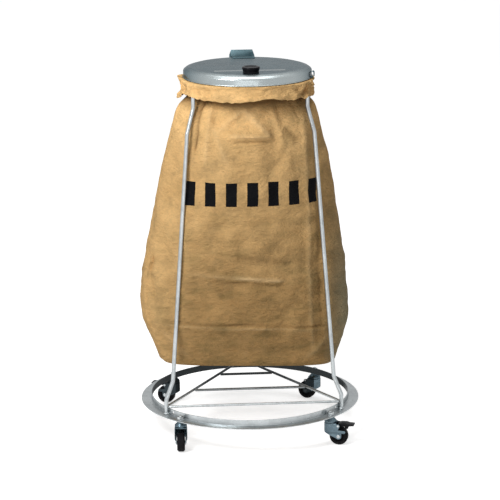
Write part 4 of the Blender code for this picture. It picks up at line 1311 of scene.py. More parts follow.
@dataclass
class RodWork:
    """The three legs, the grid rods between their feet, the top ring and the welds."""

    finishes: FinishSet
    sides: int = 24
    bend: float = 0.020
    rod_end: float = 0.0006
    bead_centre: Point2 = (0.0006, 0.0009)
    bead_radius: float = 0.0022
    bead_grain: float = 420.0
    bead_rise: float = 0.5
    bead_swell: float = 0.10

    def build(self) -> None:
        """Make every rod."""
        self.make_legs()
        self.make_grid()
        self.make_top_ring()

    def make_legs(self) -> None:
        """Extrude each leg along its bent path, with a weld bead at its foot."""
        size = STAND
        path = softened(size.leg_corners(), self.bend, 8)
        for name, place in size.leg_angles.items():
            line = [around(radius, place, z) for radius, z in path]
            leg = tube(line, size.leg_radius, self.sides)
            publish(joined([leg, self.foot_bead(place)]), f"leg_rod_{name}", self.finishes.zinc,
                    [f"leg_{name}"])

    def foot_bead(self, place: float) -> Shape:
        """Return the lumpy ring of weld where the leg at an angle stands on the flange.

        Args:
            place: The leg's angle in degrees.

        Returns:
            A closed ring of weld.
        """
        size = STAND
        out, up = self.bead_centre
        bead = spun(arc((size.leg_radius + out, up), self.bead_radius, 0.0, 330.0, 11), 48)
        for vert in bead.verts:
            swell = noise.noise(vert.co * self.bead_grain + Vector((place, 0.0, 0.0)))
            vert.co.z = max(0.0, vert.co.z * (1.0 + self.bead_rise * swell))
            vert.co.x *= 1.0 + self.bead_swell * swell
            vert.co.y *= 1.0 + self.bead_swell * swell
        return placed(bead, shift(*around(size.foot_radius, place, size.flange_top + GAP)))

    def make_grid(self) -> None:
        """Extrude the triangle of rods between the feet and the two cross rods."""
        size = STAND
        radius = size.rod_radius
        feet = {name: around(size.foot_radius, place, size.rods_z)
                for name, place in size.leg_angles.items()}
        for name, ends in (("grid_rod_front", ("left", "right")),
                           ("grid_arm_left", ("left", "rear")),
                           ("grid_arm_right", ("right", "rear"))):
            start, stop = feet[ends[0]], feet[ends[1]]
            ahead = (stop - start).normalized()
            other = next(feet[key] for key in feet if key not in ends)
            inset = []
            for here, there in ((start, stop), (stop, start)):
                half = (there - here).angle(other - here) / 2.0
                inset.append(max(size.leg_radius, radius / math.tan(half)) + 2.0 * GAP)
            self.put_rod(name, start + ahead * inset[0], stop - ahead * inset[1])
        slope = (feet["rear"] - feet["right"]).normalized()
        clear = (radius + GAP) / abs(slope.y) + radius * abs(slope.x / slope.y)
        for index in (1, 2):
            middle = feet["right"].lerp(feet["rear"], index / 3.0)
            half = middle.x - clear
            self.put_rod(f"grid_cross_rod_{index}", Vector((-half, middle.y, middle.z)),
                         Vector((half, middle.y, middle.z)))

    def put_rod(self, node: str, start: Vector, stop: Vector) -> None:
        """Make a straight grid rod with softly rounded ends for a CAD node.

        Args:
            node: Name of the CAD node.
            start: First end.
            stop: Second end.
        """
        way, radius = stop - start, STAND.rod_radius
        length = way.length
        profile = softened([(0.0, 0.0), (radius, 0.0), (radius, length), (0.0, length)],
                           self.rod_end, 3)
        rod = placed(spun(profile, self.sides), Matrix.Translation(start),
                     turn_to(way.normalized()))
        publish(rod, node.replace("grid", "floor_grid"), self.finishes.zinc, [node])

    def make_top_ring(self) -> None:
        """Spin the ring that the bag is folded over."""
        size = STAND
        profile = arc((size.top_ring_radius, size.top_ring_z), size.top_ring_rod, 0.0, 345.0, 23)
        publish(spun(profile, 160), "bag_ring", self.finishes.zinc, ["top_ring"])


# ---------------------------------------------------------------- paper bag


def rounded_square(half: float, depth: float, power: float, turn: float) -> Point2:
    """Return a point of a rounded section at a turn in radians from the front.

    Args:
        half: Half width.
        depth: Half depth.
        power: 2 for an ellipse, and more for squarer corners.
        turn: Turn in radians.

    Returns:
        The point's X and Y.
    """
    side = math.copysign(abs(math.sin(turn)) ** (2.0 / power), math.sin(turn))
    ahead = math.copysign(abs(math.cos(turn)) ** (2.0 / power), math.cos(turn))
    return half * side, -depth * ahead


def spline_value(stations: Sequence[Point2], share: float) -> float:
    """Return a smooth value through stations of share and value pairs.

    Args:
        stations: Pairs in rising order of share.
        share: Share that is read.

    Returns:
        The value.
    """
    last = len(stations) - 1
    index = next((i for i in range(last) if share <= stations[i + 1][0]), last - 1)
    here, there = stations[index], stations[index + 1]
    before, after = stations[max(index - 1, 0)], stations[min(index + 2, last)]
    span = there[0] - here[0]
    slope_here = (there[1] - before[1]) / (there[0] - before[0]) * span
    slope_there = (after[1] - here[1]) / (after[0] - here[0]) * span
    t = min(max((share - here[0]) / span, 0.0), 1.0)
    return (here[1] * (2 * t ** 3 - 3 * t ** 2 + 1) + slope_here * (t ** 3 - 2 * t ** 2 + t)
            + there[1] * (3 * t ** 2 - 2 * t ** 3) + slope_there * (t ** 3 - t ** 2))


def joined_back(turn: float) -> float:
    """Return a share that falls to 0 at the back, where the paper's two edges meet."""
    return ease((math.pi - abs(turn)) / 0.30)


def facet_height(along: float, up: float, cell: float, seed: float) -> float:
    """Return a height from -1 to 1 on a crumpled sheet of flat facets.

    Args:
        along: Place along the sheet.
        up: Place up the sheet.
        cell: Size of a facet.
        seed: Number that picks the pattern.

    Returns:
        The height, straight within each facet and bent at its edges.
    """
    warp = noise.noise_vector(Vector((along, up, seed)) / (cell * 1.7)) * 0.45 * cell
    x, y = (along + warp.x) / cell, (up + warp.y) / (cell * 0.866)
    a, b = x - 0.5 * y, y
    i, j = math.floor(a), math.floor(b)
    f, g = a - i, b - j

    def corner(p: int, q: int) -> float:
        """Return the height of a lattice corner."""
        return 2.0 * noise.cell(Vector((p + 0.5, q + 0.5, seed * 7.0 + 0.5))) - 1.0

    if f + g < 1.0:
        return corner(i, j) * (1.0 - f - g) + corner(i + 1, j) * f + corner(i, j + 1) * g
    return (corner(i + 1, j + 1) * (f + g - 1.0) + corner(i + 1, j) * (1.0 - g)
            + corner(i, j + 1) * (1.0 - f))


@dataclass(frozen=True)
class Facets:
    """Flat facets of one size on crumpled paper."""

    rise: float
    cell: float
    seed: float

    def at(self, along: float, up: float) -> float:
        """Return how far the facets lift the paper at a place on it."""
        return self.rise * facet_height(along, up, self.cell, self.seed)


@dataclass(frozen=True)
class Waves:
    """Smooth waves of one length along and up the paper."""

    rise: float
    along: float
    up: float
    seed: float

    def at(self, along: float, up: float) -> float:
        """Return how far the waves lift the paper at a place on it."""
        spot = Vector((along / self.along, up / self.up, self.seed))
        return self.rise * noise.noise(spot)


@dataclass(frozen=True)
class Crease:
    """A fold line in the paper, from point to point in girth and height, with a painted highlight
    or painted shade along it.
    """

    start: Point2
    stop: Point2
    width: float
    rise: float
    # Painted highlight where positive, painted shade where negative
    painted_light: float = 0.0
    run_out: float = 0.15

    def lift(self, girth: float, height: float) -> Point2:
        """Return how far the paper is lifted at a point, and how much painted highlight or shade
        the fold puts there.

        Args:
            girth: Girth from the front.
            height: Height above the floor.

        Returns:
            The lift in metres, and the painted highlight (up to 1) or painted shade (down to -1).
        """
        way = Vector(self.stop) - Vector(self.start)
        here = Vector((girth, height)) - Vector(self.start)
        share = here.dot(way) / way.length_squared
        aside = abs(way.x * here.y - way.y * here.x) / way.length
        if not -self.run_out < share < 1.0 + self.run_out or aside > self.width:
            return 0.0, 0.0
        end = (ease((share + self.run_out) / (2.0 * self.run_out))
               * ease((1.0 + self.run_out - share) / (2.0 * self.run_out)))
        near = 1.0 - aside / self.width
        return self.rise * near * near * end, self.painted_light * near ** 3 * end


@dataclass
class PaperBag:
    """The kraft bag: its mouth folded out over the top ring as a cuff, its bottom closed."""

    finishes: FinishSet
    sides: int = 252
    cuff_rows: int = 44
    body_rows: int = 140
    bottom_rows: int = 6
    # Body: heights, half widths and half depths, lean to the left and sag to the right
    floor_z: float = 0.2053
    shoulder: float = 0.1965
    waist: float = 0.2455
    belly: float = 0.2845
    foot: float = 0.2420
    depth: float = 0.158
    foot_depth: float = 0.110
    lean: float = 0.013
    tilt: float = 0.032
    neck_gap: float = 0.0008
    leg_gap: float = 0.0045
    row_power: float = 1.12
    # Bottom: how far its rounded edge reaches in and down
    edge_share: float = 0.34
    edge_fall: float = 0.009
    # Dents behind the legs
    dent_top: float = 0.020
    dent_reach: float = 0.050
    dent_blend: float = 0.020
    dent_gap: float = 0.0020
    dent_spread: float = 0.034
    # Cuff: length, girth, play over the ring and the legs, waves, the crushed ends and the painted
    # shade of its crumples
    cuff_length: float = 0.0372
    cuff_girth: float = 0.176
    cuff_slack: float = 0.0045
    cuff_over: float = 0.0022
    ring_play: float = 0.0014
    leg_play: float = 0.0016
    hem_wave: float = 0.0035
    hem_flare: float = 0.0030
    rumple: float = 0.0030
    bulge: float = 0.012
    bulge_rise: float = 0.006
    crush_low: float = 0.0026
    crush_high: float = 0.0084
    crush: Facets = Facets(1.0, 0.017, 3.0)
    hem_crush: Facets = Facets(0.5, 0.011, 8.0)
    shadows: Facets = Facets(1.4, 0.012, 5.0)
    slot_half: float = 0.041
    slot_from: float = 0.1602
    slot_below: float = 0.012
    # Crumpled faces: pleats and gathers at the neck, facets, flutes and ripples
    pleats: float = 9.0
    pleat_depth: float = 0.022
    gathers: float = 12.0
    gather_depth: float = 0.0080
    fullness: float = 0.0044
    pinch: float = 0.0095
    broad: Facets = Facets(0.0058, 0.105, 1.0)
    medium: Facets = Facets(0.0034, 0.046, 2.0)
    fine: Facets = Facets(0.0011, 0.020, 5.0)
    flutes: Waves = Waves(0.0042, 0.034, 0.30, 9.0)
    ripples: Waves = Waves(0.0013, 0.085, 0.020, 4.0)
    # Fold lines: start, stop, width, rise, and painted highlight (positive) or painted shade
    # (negative)
    creases: tuple[Crease, ...] = (
        Crease((-0.040, 0.448), (0.090, 0.440), 0.013, 0.0060, 1.0),
        Crease((-0.070, 0.436), (0.090, 0.428), 0.012, -0.0035, -0.5),
        Crease((-0.150, 0.456), (-0.040, 0.448), 0.018, 0.0040, 0.3),
        Crease((-0.205, 0.322), (0.200, 0.312), 0.007, -0.0025, -0.75),
        Crease((-0.205, 0.312), (0.200, 0.302), 0.008, 0.0020, 0.45),
        Crease((-0.184, 0.640), (-0.196, 0.230), 0.022, 0.0045, 0.35),
        Crease((0.152, 0.850), (0.176, 0.240), 0.018, 0.0045, 0.35),
        Crease((0.185, 0.845), (0.205, 0.300), 0.016, -0.0045, 0.0),
        Crease((-0.015, 0.905), (0.056, 0.834), 0.024, 0.0085, 0.5),
        Crease((-0.015, 0.905), (-0.085, 0.848), 0.022, 0.0065, 0.3),
        Crease((-0.050, 0.838), (0.056, 0.832), 0.016, 0.0080, 0.6),
        Crease((-0.060, 0.822), (0.060, 0.818), 0.010, -0.0040, -0.35),
        Crease((-0.015, 0.890), (0.050, 0.845), 0.020, 0.0, 0.55),
        Crease((0.100, 0.800), (0.060, 0.740), 0.022, -0.0030, -0.25),
        Crease((-0.100, 0.860), (-0.060, 0.760), 0.020, 0.0040, 0.35),
        Crease((-0.134, 0.915), (-0.152, 0.790), 0.018, -0.0090, -0.75),
        Crease((-0.105, 0.920), (-0.118, 0.760), 0.020, 0.0065, 0.3),
        Crease((0.060, 0.910), (0.095, 0.800), 0.022, 0.0060, 0.1),
        Crease((0.100, 0.850), (0.140, 0.815), 0.026, -0.0070, -0.45),
        Crease((-0.030, 0.505), (0.110, 0.490), 0.030, -0.0035, -0.40),
        Crease((0.010, 0.475), (0.130, 0.490), 0.020, -0.0020, 0.0),
        Crease((-0.120, 0.585), (0.070, 0.600), 0.024, -0.0035, 0.0),
        Crease((-0.275, 0.510), (-0.262, 0.360), 0.026, -0.0080, 0.0),
        Crease((-0.230, 0.290), (-0.160, 0.215), 0.022, 0.0055, 0.3),
        Crease((0.220, 0.280), (0.150, 0.212), 0.022, 0.0055, 0.3))

    def build(self) -> None:
        """Roll a grid of paper into the bag, crumple it and give it its thickness."""
        rows = self.cuff_rows + self.body_rows + self.bottom_rows
        shape = bmesh.new()
        bmesh.ops.create_grid(shape, x_segments=self.sides, y_segments=rows, size=0.5)
        # Painted highlight and shade of the folds, read by the paper's material
        fold_light_layer = shape.verts.layers.float.new("crease")
        grid: dict[bmesh.types.BMVert, Point2] = {}
        for vert in shape.verts:
            place, girth, fold_light = self.paper_point(math.tau * vert.co.x, (0.5 - vert.co.y) * rows)
            grid[vert] = (girth, place.z)
            vert.co = place
            vert[fold_light_layer] = fold_light
        uv_layer = shape.loops.layers.uv.new("paper")
        for face in shape.faces:
            for loop in face.loops:
                loop[uv_layer].uv = grid[loop.vert]
        self.cut_slot(shape)
        bmesh.ops.remove_doubles(shape, verts=shape.verts[:], dist=0.00001)
        bmesh.ops.recalc_face_normals(shape, faces=shape.faces[:])
        bag = publish(shape, "paper_bag", self.finishes.paper, ["sack"], crease=50.0)
        wall = bag.modifiers.new("paper_thickness", "SOLIDIFY")
        wall.thickness = STAND.paper
        wall.offset = 0.0

    def cut_slot(self, shape: Shape) -> None:
        """Cut the slot in the cuff's back that the hinge bracket reaches through.

        Args:
            shape: The paper.
        """
        for side in (-self.slot_half, self.slot_half):
            back = [face for face in shape.faces if self.in_cuff_back(face)]
            geometry = back + list({edge for face in back for edge in face.edges}) + list(
                {vert for face in back for vert in face.verts})
            bmesh.ops.bisect_plane(shape, geom=geometry, dist=ON_PLANE,
                                   plane_co=(side, 0.0, 0.0), plane_no=(1.0, 0.0, 0.0))
        gone = [face for face in shape.faces if self.in_cuff_back(face)
                and abs(face.calc_center_median().x) < self.slot_half]
        bmesh.ops.delete(shape, geom=gone, context="FACES")

    def in_cuff_back(self, face: bmesh.types.BMFace) -> bool:
        """Tell whether a face is in the part of the cuff that the slot may cut.

        Args:
            face: A face of the paper.

        Returns:
            True where the slot may cut.
        """
        middle = face.calc_center_median()
        low = STAND.paper_top - self.cuff_length - self.slot_below
        return (middle.y > 0.0 and middle.z > low
                and math.hypot(middle.x, middle.y) > self.slot_from)

    def paper_point(self, turn: float, row: float) -> tuple[Vector, float, float]:
        """Return where a point of the paper lies.

        Args:
            turn: Turn in radians from the front.
            row: Row counted from the cuff's hem.

        Returns:
            Its place, its girth from the front and its painted fold highlight or shade.
        """
        if row <= self.cuff_rows:
            return self.cuff_point(turn, row / self.cuff_rows)
        if row <= self.cuff_rows + self.body_rows:
            return self.body_point(turn, (row - self.cuff_rows) / self.body_rows)
        return self.bottom_point(turn, (row - self.cuff_rows - self.body_rows) / self.bottom_rows)

    def slack_radius(self, turn: float) -> float:
        """Return how far out the cuff lies at a turn: over the legs, and closer between them.

        Args:
            turn: Turn in radians from the front.

        Returns:
            The radius in metres.
        """
        size = STAND
        tight = size.ring_outside + self.cuff_slack
        apart = min(abs((math.degrees(turn) - place + 180.0) % 360.0 - 180.0)
                    for place in size.leg_angles.values())
        over = size.leg_outside + self.cuff_over
        return over + (tight - over) * ramp(apart, 9.0, 22.0)

    def along_cuff(self, share: float) -> Point2:
        """Return radius and height at a share of the cuff's section from the hem.

        Args:
            share: Share from 0 at the hem to 1 inside the ring.

        Returns:
            The radius and the height.
        """
        size = STAND
        near = size.top_ring_rod + GAP + size.paper / 2.0
        outside = size.leg_outside + self.cuff_over
        inside = size.top_ring_radius - near
        top = size.paper_line
        path = softened([
            (outside, top - self.cuff_length), (outside, top - 0.008),
            (outside - 0.0040, top - 0.0010), (size.top_ring_radius, top),
            (size.top_ring_radius - near * 0.8, top - near * 0.16),
            (inside - 0.0002, size.top_ring_z), (inside - self.neck_gap, size.neck_z)], 0.004, 6)
        lengths = [math.dist(a, b) for a, b in zip(path, path[1:])]
        target = share * sum(lengths)
        index = 0
        while index < len(lengths) - 1 and target > lengths[index]:
            target -= lengths[index]
            index += 1
        step = min(target / lengths[index], 1.0)
        (radius, height), (next_radius, next_height) = path[index], path[index + 1]
        return radius + (next_radius - radius) * step, height + (next_height - height) * step

    def cuff_point(self, turn: float, share: float) -> tuple[Vector, float, float]:
        """Return a point of the cuff at a turn and a share of its path from the hem.

        Args:
            turn: Turn in radians from the front.
            share: Share from 0 at the hem to 1 inside the ring.

        Returns:
            Its place, its girth from the front and its painted fold highlight or shade.
        """
        size = STAND
        radius, height = self.along_cuff(share)
        girth = turn * self.cuff_girth
        painted_shade = 0.0
        if radius > size.top_ring_radius:
            radius = min(radius, self.slack_radius(turn))
            down = (size.paper_line - height) / self.cuff_length
            wave = math.sin(5.0 * turn + 0.6) + 0.5 * math.sin(9.0 * turn)
            height += self.hem_wave * wave * max(0.0, down)
            left = hump(math.degrees(turn), -90.0, 26.0)
            crushed = max(left, hump(math.degrees(turn), 66.0, 22.0))
            puff = ramp(radius, size.top_ring_radius, 0.010) * (1.0 - 0.75 * ease(down))
            radius += self.bulge * left * puff
            height += self.bulge_rise * left * puff
            spot = Vector((math.sin(turn), -math.cos(turn), height * 5.0))
            rumple = noise.noise(spot * 7.0) + 0.6 * abs(noise.noise(spot * 15.0))
            radius += self.rumple * (rumple - 0.25) * ease(down * 2.0)
            radius += self.hem_flare * ramp(down, 0.55, 0.4)
            strength = self.crush_low + self.crush_high * crushed
            seam = joined_back(turn)
            radius += strength * (self.crush.at(girth, height) * seam) * ease(down * 2.5)
            height += strength * self.hem_crush.at(girth, height) * ease(down) * seam
            radius = self.outside_legs(turn, height, radius, down)
            # Painted shade in the cuff's crumples, strongest at its crushed ends
            painted_shade = -ease(self.shadows.at(girth, height)) * (0.08 + 0.50 * crushed)
        return Vector((radius * math.sin(turn), -radius * math.cos(turn), height)), girth, painted_shade

    def outside_legs(self, turn: float, height: float, radius: float, down: float) -> float:
        """Return a cuff radius that clears the top ring and the legs' ends.

        Args:
            turn: Turn in radians from the front.
            height: Height of the point.
            radius: Radius wanted.
            down: Share of the cuff's length from its top.

        Returns:
            The radius, moved out where it needs to be.
        """
        size = STAND
        if down > 0.12:
            radius = max(radius, size.ring_outside + self.ring_play)
        if height > size.top_ring_z + 0.002:
            return radius
        reach = size.leg_radius + self.leg_play
        for place in size.leg_angles.values():
            apart = turn - math.radians(place)
            apart = math.atan2(math.sin(apart), math.cos(apart))
            aside = size.leg_top_radius * math.sin(apart)
            if abs(apart) < 1.0 and abs(aside) < reach:
                needed = size.leg_top_radius * math.cos(apart) + math.sqrt(reach ** 2 - aside ** 2)
                radius = max(radius, needed)
        return radius

    def section(self, drop: float) -> tuple[float, float, float, float, float]:
        """Return the body's section at a share of its drop.

        Args:
            drop: Share from 0 at the neck to 1 at the bottom.

        Returns:
            Centre, half width, half depth, power of the rounded section, and height.
        """
        size = STAND
        neck = (size.top_ring_radius - size.top_ring_rod - GAP - size.paper / 2.0
                - self.neck_gap)
        height = size.neck_z + (self.floor_z - size.neck_z) * drop
        half = spline_value([(0.0, neck), (0.11, self.shoulder), (0.41, self.waist),
                             (0.82, self.belly), (1.0, self.foot)], drop)
        depth = self.depth + (self.foot_depth - self.depth) * ramp(drop, 0.72, 0.28)
        power = 2.0 + 1.7 * ramp(drop, 0.45, 0.55) + 0.8 * ramp(drop, 0.85, 0.15)
        centre = -self.lean * spline_value(
            [(0.0, 0.0), (0.08, 0.35), (0.35, 0.5), (0.82, 1.08), (1.0, 0.7)], drop)
        inside = size.leg_radius_at(height) - size.leg_radius - self.leg_gap
        for name in ("left", "right"):
            leg = around(inside, size.leg_angles[name], height)
            share = abs(leg.x - centre) / half
            if share < 0.97:
                depth = min(depth, abs(leg.y) / (1.0 - share ** power) ** (1.0 / power))
        return centre, half, depth, power, height

    def body_point(self, turn: float, share: float) -> tuple[Vector, float, float]:
        """Return a point of the body at a turn and a share of its rows from the neck.

        Args:
            turn: Turn in radians from the front.
            share: Share from 0 at the neck to 1 at the bottom.

        Returns:
            Its place, its girth from the front and its painted fold highlight or shade.
        """
        drop = share ** self.row_power
        centre, half, depth, power, height = self.section(drop)
        x, y = rounded_square(half, depth, power, turn)
        fold = self.pleat_depth * ease(1.0 - drop / 0.5) * ease(drop / 0.05)
        shrink = 1.0 - fold * (0.5 - 0.5 * math.cos(self.pleats * turn))
        x, y = x * shrink, y * shrink
        girth = turn * (half + depth) / 2.0
        if abs(turn) < 1.2:
            girth = math.copysign(math.hypot(x, (depth + y) * 0.9), turn)
        out = Vector((math.copysign(abs(x / half) ** (power - 1.0) / half, x),
                      math.copysign(abs(y / depth) ** (power - 1.0) / depth, y), 0.0)).normalized()
        lift, fold_light = self.crumple(turn, girth, height, drop)
        sag = self.tilt * x * ease(drop)
        place = Vector((centre + x, y, height - sag)) + out * lift
        return self.clear_of_legs(place), girth, fold_light

    def crumple(self, turn: float, girth: float, height: float, drop: float) -> Point2:
        """Return how far the paper stands out at a point, and its painted fold highlight or shade.

        Args:
            turn: Turn in radians from the front.
            girth: Girth from the front.
            height: Height above the floor.
            drop: Share of the body's height from the neck.

        Returns:
            The lift in metres, and the painted highlight or shade from -1 to 1.
        """
        side = math.pi / 2.0
        free = ease(drop / 0.06) * ease((1.0 - drop) / 0.05)
        high = ease(1.0 - drop / 0.40)
        low = ramp(drop, 0.50, 0.3)
        calm = 1.0 - 0.75 * hump(abs(turn), side, 0.55)
        calm *= 1.0 - 0.60 * ramp(abs(turn), 1.7, 0.4)
        full = 1.0 - hump(abs(turn), side, 0.45)
        lift = self.broad.at(girth, height) * (0.30 + 0.70 * high) * calm
        lift += self.medium.at(girth, height) * calm
        lift += self.fine.at(girth, height) * (0.5 + 0.5 * low)
        lift += self.flutes.at(girth, height) * hump(drop, 0.28, 0.30) * calm
        lift += self.ripples.at(girth, height) * low
        drift = 2.2 * noise.noise(Vector((turn, 0.0, 3.0)))
        gather = abs(math.sin(self.gathers * turn + drift))
        depth = 0.5 + 0.5 * noise.noise(Vector((turn * 3.0, 1.0, 6.0)))
        lift -= self.gather_depth * depth * (1.0 - gather) ** 2 * ease(1.0 - drop / 0.20)
        fold_light = 0.0
        for crease in self.creases:
            rise, painted_light = crease.lift(girth, height)
            lift += rise
            fold_light = painted_light if abs(painted_light) > abs(fold_light) else fold_light
        # Under the hem the paper is pinched in and gets a band of painted shade
        under = ease(drop / 0.02) * ease((0.074 - drop) / 0.040)
        lift = self.fullness * full + lift * joined_back(turn)
        return lift * free - self.pinch * under, fold_light * free - under

    def clear_of_legs(self, place: Vector) -> Vector:
        """Dent a point inwards where it would come within reach of a leg.

        Args:
            place: Place of the point.

        Returns:
            Its place behind the leg, on a dent that widens to both sides.
        """
        size = STAND
        if place.z > size.top_ring_z - self.dent_top:
            return place
        for angle in size.leg_angles.values():
            ahead = around(1.0, angle, 0.0)
            across = abs(place.x * ahead.y - place.y * ahead.x)
            along = place.x * ahead.x + place.y * ahead.y
            if across > self.dent_reach or along < 0.0:
                continue
            most = (size.leg_radius_at(place.z) - size.leg_radius - self.dent_gap
                    + across ** 2 / self.dent_spread)
            if along > most:
                share = ease((self.dent_reach - across) / self.dent_blend)
                place = place + ahead * (most - along) * share
        return place

    def bottom_point(self, turn: float, share: float) -> tuple[Vector, float, float]:
        """Return a point of the bottom, from its rounded edge in to its middle.

        Args:
            turn: Turn in radians from the front.
            share: Share from 0 at the edge to 1 in the middle.

        Returns:
            Its place, its girth from the front and its painted fold highlight or shade.
        """
        centre, half, depth, power, height = self.section(1.0)
        x, y = rounded_square(half, depth, power, turn)
        inset = 1.0 - 0.02 * share / 0.17
        if share > self.edge_share:
            inset = 0.90 * (1.0 - share) / 0.66
        fall = self.edge_fall * ease(share / self.edge_share)
        girth = turn * (half + depth) / 2.0
        sag = self.tilt * (centre + x * inset)
        return Vector((centre + x * inset, y * inset, height - fall - sag)), girth, 0.0


# ---------------------------------------------------------------- lid and hinge


@dataclass
class LidWork:
    """The pressed lid with its rib, knob, screw, side catch and hinge."""

    finishes: FinishSet
    radius: float = 0.1722
    depth: float = 0.0285
    sheet: float = 0.0010
    shoulder: float = 0.020
    shoulder_drop: float = 0.009
    shoulder_share: float = 0.38
    corner: float = 0.006
    bead: float = 0.0018
    sides: int = 192
    rib_length: float = 0.200
    rib_width: float = 0.013
    rib_flow: float = 0.0025
    rib_forward: float = 0.080
    rib_height: float = 0.003
    rib_sink: float = 0.0001
    rib_rings: int = 9
    knob_radius: float = 0.0240
    knob_height: float = 0.0170
    knob_forward: float = 0.121
    knob_bore: float = 0.0030
    knob_bore_depth: float = 0.0103

    @property
    def rim_z(self) -> float:
        """Height of the lid's rim."""
        return STAND.paper_top + GAP

    @property
    def top_z(self) -> float:
        """Height of the lid's flat top."""
        return self.rim_z + self.depth

    def build(self) -> None:
        """Make the lid and all that rides on it."""
        self.make_pan()
        self.make_knob()
        hinge, zinc = self.finishes.hinge, self.finishes.zinc
        for node, name, width, finish in (
                ("lid_side_catch", "side_catch", 0.0004, hinge),
                ("hinge_leaf", "hinge_flap", 0.0003, hinge),
                ("hinge_rivet_left", "flap_rivet_left", 0.0003, hinge),
                ("hinge_rivet_right", "flap_rivet_right", 0.0003, hinge),
                ("hinge_bracket", "folded_bracket", 0.0004, hinge),
                ("hinge_pin", "hinge_bolt", 0.0003, zinc),
                ("lid_knob_screw", "knob_screw", 0.0003, zinc)):
            publish(bevelled(copy_of_node(node), width), name, finish, [node])

    def make_pan(self) -> None:
        """Spin the pan from sheet and press up its rib."""
        top, rim, bead, sheet = self.top_z, self.rim_z, self.bead, self.sheet
        flat = self.radius - self.shoulder
        drop = self.shoulder_drop
        bend = top - drop * self.shoulder_share
        outer = softened([
            (0.0, top), (flat, top), (flat + self.shoulder * 0.62, bend),
            (self.radius, top - drop), (self.radius, rim + 2.2 * bead)], self.corner, 8)
        roll = arc((self.radius, rim + bead), bead, 70.0, -90.0, 8)
        inner = softened([
            (self.radius - sheet, rim), (self.radius - sheet, top - drop - sheet),
            (flat + self.shoulder * 0.57, bend - sheet), (flat, top - sheet),
            (0.0, top - sheet)], self.corner, 8)
        pan = spun([*outer, *roll, *inner], self.sides)
        publish(joined([pan, self.rib()]), "lid_pan", self.finishes.lid, ["lid"])

    def rib(self) -> Shape:
        """Return the pressed rib: a long rounded dome that runs out into the sheet."""
        half = self.rib_length / 2.0
        reach = self.rib_width / 2.0 + self.rib_flow
        outline = arc((half - reach, 0.0), reach, -90.0, 90.0, 24)
        outline += arc((-half + reach, 0.0), reach, 90.0, 270.0, 24)
        shape = bmesh.new()
        face = shape.faces.new([shape.verts.new((x, y, 0.0)) for x, y in outline])
        for _ in range(1, self.rib_rings):
            bmesh.ops.inset_region(shape, faces=[face], thickness=reach / self.rib_rings,
                                   use_even_offset=True)
        for vert in shape.verts:
            over = max(0.0, abs(vert.co.x) - (half - reach))
            share = 1.0 - min(1.0, math.hypot(over, vert.co.y) / reach)
            vert.co.z = self.rib_height * ease(share * 1.25) - self.rib_sink
        bmesh.ops.translate(shape, verts=shape.verts[:], vec=(0.0, -self.rib_forward, self.top_z))
        if sum(f.normal.z * f.calc_area() for f in shape.faces) < 0.0:
            bmesh.ops.reverse_faces(shape, faces=shape.faces[:])
        edges = [edge for edge in shape.edges if len(edge.link_faces) == 1]
        grown = bmesh.ops.extrude_edge_only(shape, edges=edges)["geom"]
        skirt = [item for item in grown if isinstance(item, bmesh.types.BMVert)]
        bmesh.ops.translate(shape, verts=skirt, vec=(0.0, 0.0, -self.sheet * 0.5))
        ends = [edge for edge in shape.edges if len(edge.link_faces) == 1]
        bmesh.ops.contextual_create(shape, geom=ends)
        return closed_up(shape)

    def make_knob(self) -> None:
        """Spin the waisted knob with its dished top."""
        low = self.top_z + GAP
        high = low + self.knob_height
        radius, bore, roof = self.knob_radius, self.knob_bore, low + self.knob_bore_depth
        profile = softened([
            (0.0, high - 0.0030), (radius * 0.55, high - 0.0026), (radius * 0.84, high - 0.0003),
            (radius * 0.95, high - 0.0003), (radius, high - 0.0040), (radius * 0.90, low + 0.0070),
            (radius * 0.87, low + 0.0045), (radius * 0.90, low), (bore, low), (bore, roof),
            (0.0, roof)], 0.0016, 4)
        knob = placed(spun(profile, 96), shift(0.0, -self.knob_forward, 0.0))
        publish(knob, "knob", self.finishes.plastic, ["lid_knob"])


# ---------------------------------------------------------------- castors


class Brake(Enum):
    """Whether a castor has a brake pedal."""

    NONE = "none"
    PEDAL = "pedal"


